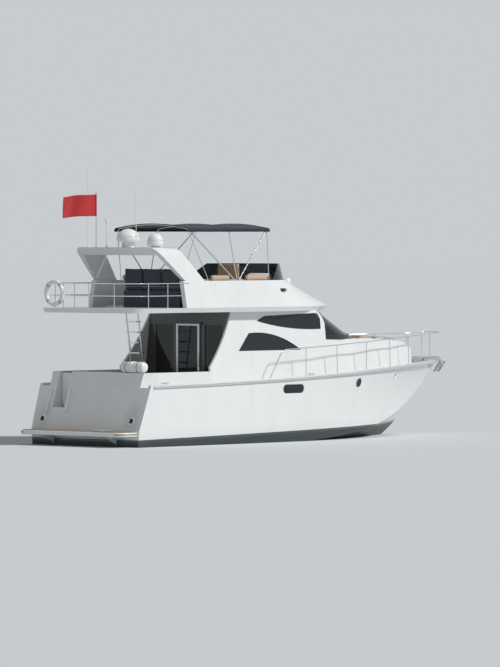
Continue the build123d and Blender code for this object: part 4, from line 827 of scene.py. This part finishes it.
dark_rubber = plain("dark_rubber", (0.022, 0.023, 0.025), (0.013, 0.014, 0.015), (0.5, 0.7), 20, 0.1)
red_lens = plain("red_lens", (0.42, 0.012, 0.012), (0.32, 0.01, 0.01), (0.08, 0.14), 8, 0.02)
green_lens = plain("green_lens", (0.01, 0.26, 0.09), (0.01, 0.2, 0.07), (0.08, 0.14), 8, 0.02)
clear_lens = plain("clear_lens", (0.72, 0.74, 0.74), (0.62, 0.64, 0.65), (0.05, 0.1), 8, 0.02)
grey_tape = plain("grey_tape", (0.5, 0.51, 0.52), (0.42, 0.43, 0.44), (0.25, 0.35), 30, 0.2)
screen_black = plain("screen_black", (0.008, 0.009, 0.011), (0.005, 0.006, 0.007), (0.05, 0.09), 6, 0.01)
dial_white = plain("dial_white", (0.7, 0.7, 0.67), (0.6, 0.6, 0.57), (0.3, 0.4), 30, 0.05)

# A finish and its slot, as the makers below take them
rubber = (dark_rubber, "dark_plastic")
bright = (materials["stainless"], "stainless")
white = (materials["white_plastic"], "white_plastic")
black = (materials["dark_plastic"], "dark_plastic")
taped = (grey_tape, "white_plastic")
skins = {}


def skin_of(name):
    if name not in skins:
        skins[name] = BVHTree.FromObject(nodes[name], bpy.context.evaluated_depsgraph_get())
    return skins[name]


def touch(name, start, way):
    """Where a straight line meets a node, and the direction that its surface faces."""
    place, normal, _, _ = skin_of(name).ray_cast(Vector(start), Vector(way))
    return place, normal


def on_top(name, x, y, lift=0.0):
    place, _ = touch(name, (x, y, 12), (0, 0, -1))
    return Vector((x, y, place.z + lift))


def boxes(name, finish, slot, rows, body="boat", radius=0.006, turn=None):
    """Rounded boxes between two corners each, as one piece."""
    bm = bmesh.new()
    for low, high in rows:
        rounded_box(bm, low, high, radius, 2)
    if turn is not None:
        bmesh.ops.transform(bm, matrix=turn, verts=bm.verts)
    return from_bmesh(name, bm, finish, slot, body, 40)


def tubes(name, finish, slot, rows, body="boat", smooth=False, sides=3):
    """Round tubes, each a radius, its points and whether it closes, as one piece."""
    meshes = [tube_mesh(points, radius, closed, smooth, sides) for radius, points, closed in rows]
    return from_bmesh(name, joined(meshes), finish, slot, body, 60)


def spun_mesh(profile, place=(0, 0, 0), axis=(0, 0, 1), steps=28):
    """A profile of radius and height rows, turned round an axis through a place."""
    bm = bmesh.new()
    corners = [bm.verts.new((radius, 0, height)) for radius, height in profile]
    for pair in zip(corners, corners[1:]):
        bm.edges.new(pair)
    bmesh.ops.spin(
        bm, geom=list(bm.verts) + list(bm.edges), cent=(0, 0, 0), axis=(0, 0, 1),
        angle=2 * math.pi, steps=steps, use_merge=True,
    )
    bmesh.ops.remove_doubles(bm, verts=bm.verts, dist=1e-6)
    bmesh.ops.recalc_face_normals(bm, faces=bm.faces)
    aim = Vector((0, 0, 1)).rotation_difference(Vector(axis)).to_matrix().to_4x4()
    bmesh.ops.transform(bm, matrix=Matrix.Translation(Vector(place)) @ aim, verts=bm.verts)
    mesh = bpy.data.meshes.new("spun")
    bm.to_mesh(mesh)
    bm.free()
    return mesh


def spun(name, finish, slot, rows, body="boat", crease=35):
    """Turned shapes, each a profile, its place and its axis, as one piece."""
    meshes = [spun_mesh(profile, place, axis) for profile, place, axis in rows]
    return from_bmesh(name, joined(meshes), finish, slot, body, crease)


def circle(centre, normal, radius, steps=32):
    """Points round a circle that faces a direction."""
    aim = Vector((0, 0, 1)).rotation_difference(Vector(normal))
    turns = [2 * math.pi * step / steps for step in range(steps)]
    return [Vector(centre) + aim @ Vector((radius * math.cos(t), radius * math.sin(t), 0)) for t in turns]


def outer_rims(name, middle=(7.0, 0.0, 2.0), thickest=0.03):
    """The outlines of a node's panes, on the face turned away from a middle."""
    bm = bmesh.new()
    bm.from_mesh(nodes[name].data)
    bmesh.ops.remove_doubles(bm, verts=bm.verts, dist=1e-5)
    skin = BVHTree.FromBMesh(bm)
    broad = set()
    for face in bm.faces:
        centre = face.calc_center_median()
        through = skin.ray_cast(centre - face.normal * 5e-4, -face.normal)[3]
        outward = face.normal.dot(centre - Vector(middle)) > 0
        if outward and through is not None and through < thickest:
            broad.add(face)
    rim = [edge for edge in bm.edges if sum(face in broad for face in edge.link_faces) == 1]
    ahead = {}
    for edge in rim:
        for corner in edge.verts:
            ahead.setdefault(corner, []).append(edge.other_vert(corner))
    loops = []
    left = set(ahead)
    while left:
        first = corner = left.pop()
        loop = [first]
        while True:
            following = [other for other in ahead[corner] if other in left]
            if not following:
                break
            corner = following[0]
            left.discard(corner)
            loop.append(corner)
        if len(loop) > 2:
            loops.append([corner.co.copy() for corner in loop])
    bm.free()
    return loops


for name, node, radius, trim, thickest in (
    ("side_gaskets", "side_glass", 0.012, rubber, 0.03),
    ("screen_gaskets", "windscreen", 0.012, rubber, 0.03),
    ("bulkhead_gaskets", "bulkhead_glass", 0.01, rubber, 0.03),
    ("hull_light_rims", "hull_lights", 0.011, bright, 0.4),
):
    loops = outer_rims(node, thickest=thickest)
    tubes(name, *trim, [(radius, loop, True) for loop in loops], sides=2)

# The rub rail's bright strip, and the rubber edge of the bathing platform
rail_skin = skin_of("rub_rail")
strip = []
for side in (-1, 1):
    run = []
    for step in range(64):
        x = 0.62 + 12.9 * step / 63
        best = None
        for height in range(56):
            z = 1.3 + height * 0.022
            place = rail_skin.ray_cast(Vector((x, side * 3, z)), Vector((0, -side, 0)))[0]
            if place is not None and (best is None or abs(place.y) > abs(best.y) + 1e-4):
                best, foot = place, z
            if place is not None:
                head = z
        if best is not None:
            run.append(Vector((x, best.y - side * 0.004, (foot + head) / 2)))
    strip.append((0.009, run, False))
tubes("rub_rail_strip", *bright, strip)
platform_low, platform_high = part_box("swim_platform")
edge_z = 0.33
platform_round = 0.32
sunk = 0.004
back, half = platform_low[0], platform_high[1]
bumper = [(-0.02, -half + sunk, edge_z), (back + platform_round, -half + sunk, edge_z)]
for side in (-1, 1):
    turns = [math.radians(a) for a in (range(15, 90, 15) if side < 0 else range(75, 0, -15))]
    for turn in turns:
        bumper.append((
            back + platform_round - (platform_round - sunk) * math.sin(turn),
            side * (half - platform_round + (platform_round - sunk) * math.cos(turn)),
            edge_z,
        ))
bumper += [(back + platform_round, half - sunk, edge_z), (-0.02, half - sunk, edge_z)]
tubes("platform_bumper", *rubber, [(0.012, bumper, False)])

# Exhaust outlets, each a flanged ring round a dark mouth
rings, mouths = [], []
for side in (-1, 1):
    centre = Vector((0, 0, 0))
    for height in (-0.1, 0.1):
        place, facing = touch("hull", (-3, side * exhaust_y, exhaust_z + height), (1, 0, 0))
        centre += place / 2
    rings.append(([
        (0.0, 0.004), (0.06, 0.004), (0.066, 0.03), (0.07, 0.036), (0.076, 0.034),
        (0.079, 0.012), (0.096, 0.009), (0.1, 0.004), (0.1, -0.004),
    ], centre, facing))
    mouths.append(([(0.0, 0.007), (0.05, 0.008), (0.0615, 0.014), (0.0655, 0.029)], centre, facing))
spun("exhaust_outlets", *bright, rings)
spun("exhaust_mouths", *rubber, mouths)

# A hand rail each side of the transom gate
grips = []
for y in (0.78, 1.47):
    points = []
    for height, stand in ((0.82, 0.0), (0.84, 0.05), (1.1, 0.055), (1.36, 0.05), (1.38, 0.0)):
        place, facing = touch("hull", (-3, y, height), (1, 0, 0))
        points.append(place + facing * stand)
    grips.append((0.012, points, False))
tubes("transom_grips", *bright, grips, smooth=True)

# The boarding ladder, folded on the bathing platform
ladder_y, ladder_half, ladder_z, ladder_tube = -0.95, 0.17, 0.408, 0.011
ladder_x = (-0.56, -0.09)
tread_x = (-0.48, -0.32, -0.16)
ladder_low_y, ladder_high_y = ladder_y - ladder_half, ladder_y + ladder_half
rungs = [(ladder_tube, [(x, y, ladder_z) for x in ladder_x], False) for y in (ladder_low_y, ladder_high_y)]
for x in tread_x:
    rungs.append((ladder_tube, [(x, ladder_low_y, ladder_z), (x, ladder_high_y, ladder_z)], False))
tubes("boarding_ladder", *bright, rungs)
boxes("boarding_ladder_treads", *white, [
    ((x - 0.025, ladder_low_y + 0.02, ladder_z - 0.004), (x + 0.025, ladder_high_y - 0.02, ladder_z + 0.016))
    for x in tread_x
])

# A raft case in its cradle on the transom
case_x, case_y, case_z, case_radius, case_half = 0.57, -1.18, 1.99, 0.14, 0.4
case_end = [
    (0.0, case_half), (0.07, case_half - 0.004), (0.115, case_half - 0.03), (case_radius, case_half - 0.085),
]
case_seam = [(case_radius, -0.006), (case_radius + 0.01, 0.0), (case_radius, 0.006)]
case_profile = [(radius, -height) for radius, height in case_end] + case_seam + case_end[::-1]
spun("raft_case", *white, [(case_profile, (case_x, case_y, case_z), (0, 1, 0))])
tubes("raft_straps", *rubber, [
    (0.006, circle((case_x, case_y + step, case_z), (0, 1, 0), case_radius + 0.003), True)
    for step in (-0.2, 0.2)
])
boxes("raft_cradle", *bright, [
    ((case_x - 0.08, case_y + step - 0.015, 1.848), (case_x + 0.09, case_y + step + 0.015, 1.872))
    for step in (-0.27, 0.27)
])

# Side lights on the flybridge coaming, a searchlight and a pair of horns on its brow
housings = []
for side, finish, name in ((-1, green_lens, "side_light_starboard"), (1, red_lens, "side_light_port")):
    place, _ = touch("flybridge", (5.6, side * 4, 3.9), (0, -side, 0))
    low_y, high_y = sorted((place.y - side * 0.01, place.y + side * 0.045))
    housings.append(((5.5, low_y, 3.86), (5.66, high_y, 3.94)))
    low_y, high_y = sorted((place.y + side * 0.01, place.y + side * 0.055))
    boxes(name, finish, "white_plastic", [((5.6, low_y, 3.872), (5.7, high_y, 3.928))], radius=0.015)
boxes("side_light_housings", *rubber, housings)

brow = on_top("flybridge", 7.5, 0.0)
lamp_head = brow + Vector((0, 0, 0.16))
lamp_way = (1, 0, -0.08)
lamp_bowl = [
    (0.0, -0.085), (0.05, -0.075), (0.08, -0.04), (0.09, 0.0),
    (0.094, 0.07), (0.088, 0.078), (0.084, 0.06),
]
spun("searchlight", *white, [
    ([(0.0, -0.02), (0.085, -0.02), (0.085, 0.0), (0.06, 0.03), (0.045, 0.07), (0.0, 0.07)], brow, (0, 0, 1)),
    (lamp_bowl, lamp_head, lamp_way),
])
spun("searchlight_lens", clear_lens, "white_plastic", [
    ([(0.0, 0.072), (0.05, 0.068), (0.086, 0.056)], lamp_head, lamp_way),
])
trumpet = [
    (0.012, 0.0), (0.014, 0.12), (0.022, 0.22), (0.038, 0.28),
    (0.052, 0.3), (0.05, 0.297), (0.034, 0.27), (0.0, 0.2),
]
horn_foot = on_top("flybridge", 7.45, 0.42)
spun("horns", *bright, [
    (trumpet, horn_foot + Vector((shorter, across, 0.07)), (1, 0, 0))
    for across, shorter in ((-0.05, 0.0), (0.06, 0.06))
])
boxes("horn_mount", *bright, [
    (horn_foot + Vector((0.08, -0.07, -0.02)), horn_foot + Vector((0.12, 0.08, 0.06))),
])

# Wipers at the foot of the windscreen
screen_way = Vector((-0.486, 0, -0.874))
arms, blades, pivots = [], [], []
for y, swing in ((-1.0, 0.42), (-0.02, 0.44), (0.62, 0.42)):
    sill = Vector((9.12, y, 2.72))
    points = []
    for share in (0.0, 0.25, 0.5, 0.75, 1.0):
        start = sill + Vector((-0.62 * share, swing * share, 0.36 * share)) - screen_way * 1.5
        place = skin_of("windscreen").ray_cast(start, screen_way)[0]
        if place is None:
            place = skin_of("windscreen_frame").ray_cast(start, screen_way)[0]
        if place is not None:
            points.append(place - screen_way * (0.03 - 0.012 * share))
    if len(points) > 2:
        arms.append((0.007, points, False))
        head, along = points[-1], (points[-1] - points[0]).normalized()
        blade = [head + along * reach + screen_way * 0.006 for reach in (-0.3, 0.0, 0.28)]
        blades.append((0.009, blade, False))
        pivots.append(([(0.0, 0.03), (0.02, 0.026), (0.028, 0.0), (0.028, -0.03)], points[0], -screen_way))
tubes("wiper_arms", *rubber, arms)
tubes("wiper_blades", *rubber, blades)
spun("wiper_pivots", *black, pivots)

# Grab rails along the coachroof, and two vents ahead of the sunpad
rails, feet = [], []
for side in (-1, 1):
    run = [on_top("coachroof", 9.0 + 0.35 * step, side * (1.02 - 0.035 * step), 0.07) for step in range(6)]
    first, last = run[0].copy(), run[-1].copy()
    first.z -= 0.08
    last.z -= 0.08
    rails.append((0.013, [first] + run + [last], False))
    for step in (1, 2, 3, 4):
        low = run[step].copy()
        low.z -= 0.08
        rails.append((0.01, [run[step], low], False))
    for step in range(6):
        foot = run[step].copy()
        foot.z -= 0.07
        feet.append(([(0.0, 0.012), (0.02, 0.011), (0.027, 0.004), (0.028, -0.004)], foot, (0, 0, 1)))
tubes("grab_rails", *bright, rails)
spun("grab_rail_feet", *bright, feet)
cowl = [
    (0.0, 0.075), (0.05, 0.07), (0.085, 0.055), (0.1, 0.036),
    (0.098, 0.03), (0.06, 0.026), (0.055, 0.0), (0.075, -0.02),
]
spun("deck_vents", *bright, [
    (cowl, on_top("coachroof", 10.95, side * 0.42, 0.01), (0, 0, 1)) for side in (-1, 1)
])

# Chain from the windlass to the bow roller, and the deck fillers
links = []
chain_start_x, chain_end_x = 12.72, 13.22
chain_top_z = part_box("windlass")[1][2] - 0.012
chain_count = 11
for index in range(chain_count):
    share = index / (chain_count - 1)
    x = chain_start_x + (chain_end_x - chain_start_x) * share
    z = chain_top_z - 0.06 * share
    oval = []
    for step in range(16):
        turn = 2 * math.pi * step / 16
        wide, tall = 0.034 * math.cos(turn), 0.018 * math.sin(turn)
        oval.append((x + wide, tall if index % 2 else 0.0, z + (0.0 if index % 2 else tall)))
    links.append((0.006, oval, True))
tubes("anchor_chain", materials["galvanised"], "galvanised", links)
fillers = []
for x, y in ((5.0, 1.75), (5.0, -1.75), (11.6, 0.9)):
    place, _ = touch("hull", (x, y, 12), (0, 0, -1))
    if place is not None:
        fillers.append(([(0.0, 0.006), (0.036, 0.006), (0.046, 0.003), (0.048, -0.004)], place, (0, 0, 1)))
spun("deck_fillers", *bright, fillers)

# Handles and latches on the parts that move
door_low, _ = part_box("saloon_door")
handle_y = door_low[1] + 0.035
tubes("door_handle", *bright, [
    (0.009, [(door_low[0] + 0.002, handle_y, 1.95), (door_low[0] - 0.03, handle_y, 1.95),
             (door_low[0] - 0.03, handle_y, 2.25), (door_low[0] + 0.002, handle_y, 2.25)], False),
], body="door")
boxes("door_lock", *bright, [
    ((door_low[0] - 0.008, handle_y - 0.02, 1.8), (door_low[0] + 0.004, handle_y + 0.02, 1.9))
], body="door", radius=0.003)
for name, node, body in (
    ("engine_hatch_pulls", "engine_hatch", "engine_lid"),
    ("fly_hatch_pulls", "fly_hatch", "fly_lid"),
):
    low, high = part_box(node)
    rows = []
    for side in (-1, 1):
        place, _ = touch(node, (low[0] + 0.09, (low[1] + high[1]) / 2 + side * 0.2, 12), (0, 0, -1))
        rows.append((0.005, circle(place + Vector((0, 0, 0.005)), (0, 0, 1), 0.032, 20), True))
        rows.append((0.004, circle(place + Vector((0, 0, 0.003)), (0, 0, 1), 0.045, 20), True))
    tubes(name, *bright, rows, body=body)
gate_low, gate_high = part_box("transom_gate")
gate_x, gate_y, gate_z = gate_low[0], gate_low[1], gate_high[2]
boxes("gate_latch", *bright, [
    ((gate_x - 0.012, gate_y + 0.02, gate_z - 0.14), (gate_x + 0.004, gate_y + 0.07, gate_z - 0.08)),
    ((gate_x - 0.02, gate_y + 0.03, gate_z - 0.12), (gate_x - 0.008, gate_y + 0.13, gate_z - 0.1)),
], body="gate", radius=0.003)

# The outside helm: an instrument pod with a screen and dials, and the throttles
pod_x, pod_y, pod_z = 5.71, -0.75, 4.13
tip = Matrix.Translation((pod_x, pod_y, pod_z)) @ Matrix.Rotation(math.radians(-28), 4, "Y")
pod_box = ((-0.1, -0.36, -0.03), (0.06, 0.36, 0.2))
screen_box = ((-0.106, -0.05, 0.03), (-0.094, 0.3, 0.17))
boxes("instrument_pod", smooth_gelcoat, "gelcoat", [pod_box], radius=0.03, turn=tip)
boxes("chart_screens", screen_black, "dark_plastic", [screen_box], radius=0.004, turn=tip)
dials, rims = [], []
for row in range(2):
    for column in range(3):
        centre = tip @ Vector((-0.101, -0.31 + 0.09 * column, 0.055 + 0.085 * row))
        facing = tip.to_3x3() @ Vector((-1, 0, 0))
        dials.append(([(0.0, 0.004), (0.031, 0.004), (0.033, -0.004)], centre, facing))
        rims.append((0.003, circle(centre + facing * 0.004, facing, 0.034, 20), True))
spun("dials", dial_white, "white_plastic", dials)
tubes("dial_rims", *rubber, rims)
throttle_foot = on_top("fly_console", 5.5, -0.44)
boxes("throttle_base", *black, [
    (throttle_foot + Vector((-0.06, -0.05, -0.02)), throttle_foot + Vector((0.06, 0.05, 0.06))),
], radius=0.02)
levers = []
lever_steps = (-0.025, 0.025)
knob = [(0.0, -0.024), (0.013, -0.02), (0.017, 0.0), (0.013, 0.018), (0.0, 0.024)]
for step in lever_steps:
    foot = throttle_foot + Vector((0, step, 0.05))
    levers.append((0.006, [foot, foot + Vector((-0.04, 0, 0.13))], False))
tubes("throttle_levers", *bright, levers)
spun("throttle_knobs", *rubber, [
    (knob, throttle_foot + Vector((-0.042, step, 0.19)), (0, 0, 1)) for step in lever_steps
])

# Bands on the lifebuoy, and the seam round each dome
buoy_low, buoy_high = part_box("lifebuoy")
buoy_middle = (Vector(buoy_low) + Vector(buoy_high)) / 2
buoy_tube = (buoy_high[0] - buoy_low[0]) / 2
buoy_ring = (buoy_high[2] - buoy_low[2]) / 2 - buoy_tube
bands = []
for quarter in range(4):
    middle = math.pi / 4 + quarter * math.pi / 2
    arc = []
    for step in range(7):
        turn = middle + (step - 3) * 0.045
        arc.append(buoy_middle + Vector((0, buoy_ring * math.cos(turn), buoy_ring * math.sin(turn))))
    bands.append((buoy_tube + 0.0015, arc, False))
tubes("lifebuoy_bands", *taped, bands, sides=8)
seams = []
domes_x = 1.47
for dome_y, dome_radius, seam_z in ((-0.1, 0.3, 5.288), (-1.05, 0.21, 5.178)):
    seams.append((0.003, circle((domes_x, dome_y, seam_z), (0, 0, 1), dome_radius + 0.0005, 48), True))
tubes("dome_seams", *taped, seams)

# The saloon as it shows through its glass: pads on the sofa and on the helm chair
sofa_low, sofa_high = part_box("saloon_sofa")
sofa_seat_z = sofa_low[2] + 0.43
sofa_back_y = sofa_high[1] - 0.13
sofa_base = boxes("sofa_base", materials["wood_trim"], "wood_trim", [
    (sofa_low, (sofa_high[0], sofa_high[1] - 0.01, sofa_seat_z - 0.13)),
], radius=0.015)
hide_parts("saloon_sofa")
sofa_rows = (
    # the row's low y, low z, high y, high z: the seat, then the back
    (sofa_low[1], sofa_seat_z - 0.125, sofa_back_y, sofa_seat_z),
    (sofa_back_y + 0.004, sofa_seat_z - 0.1, sofa_high[1] - 0.004, sofa_high[2]),
)
for row, (low_y, low_z, high_y, high_z) in enumerate(sofa_rows):
    row_low, row_high = (sofa_low[0], low_y, low_z), (sofa_high[0], high_y, high_z)
    for index, (low, high) in enumerate(split_run(row_low, row_high, 0, 0.8)):
        cushion(f"sofa_pad_{row}_{index}", low, high, materials["beige_cushion"], "beige_cushion")
for name, low, high in (
    ("chair_pad_seat", (6.42, -1.2, 1.752), (6.8, -0.62, 1.84)),
    ("chair_pad_back", (6.402, -1.2, 1.86), (6.48, -0.62, 2.29)),
):
    cushion(name, low, high, materials["beige_cushion"], "beige_cushion")
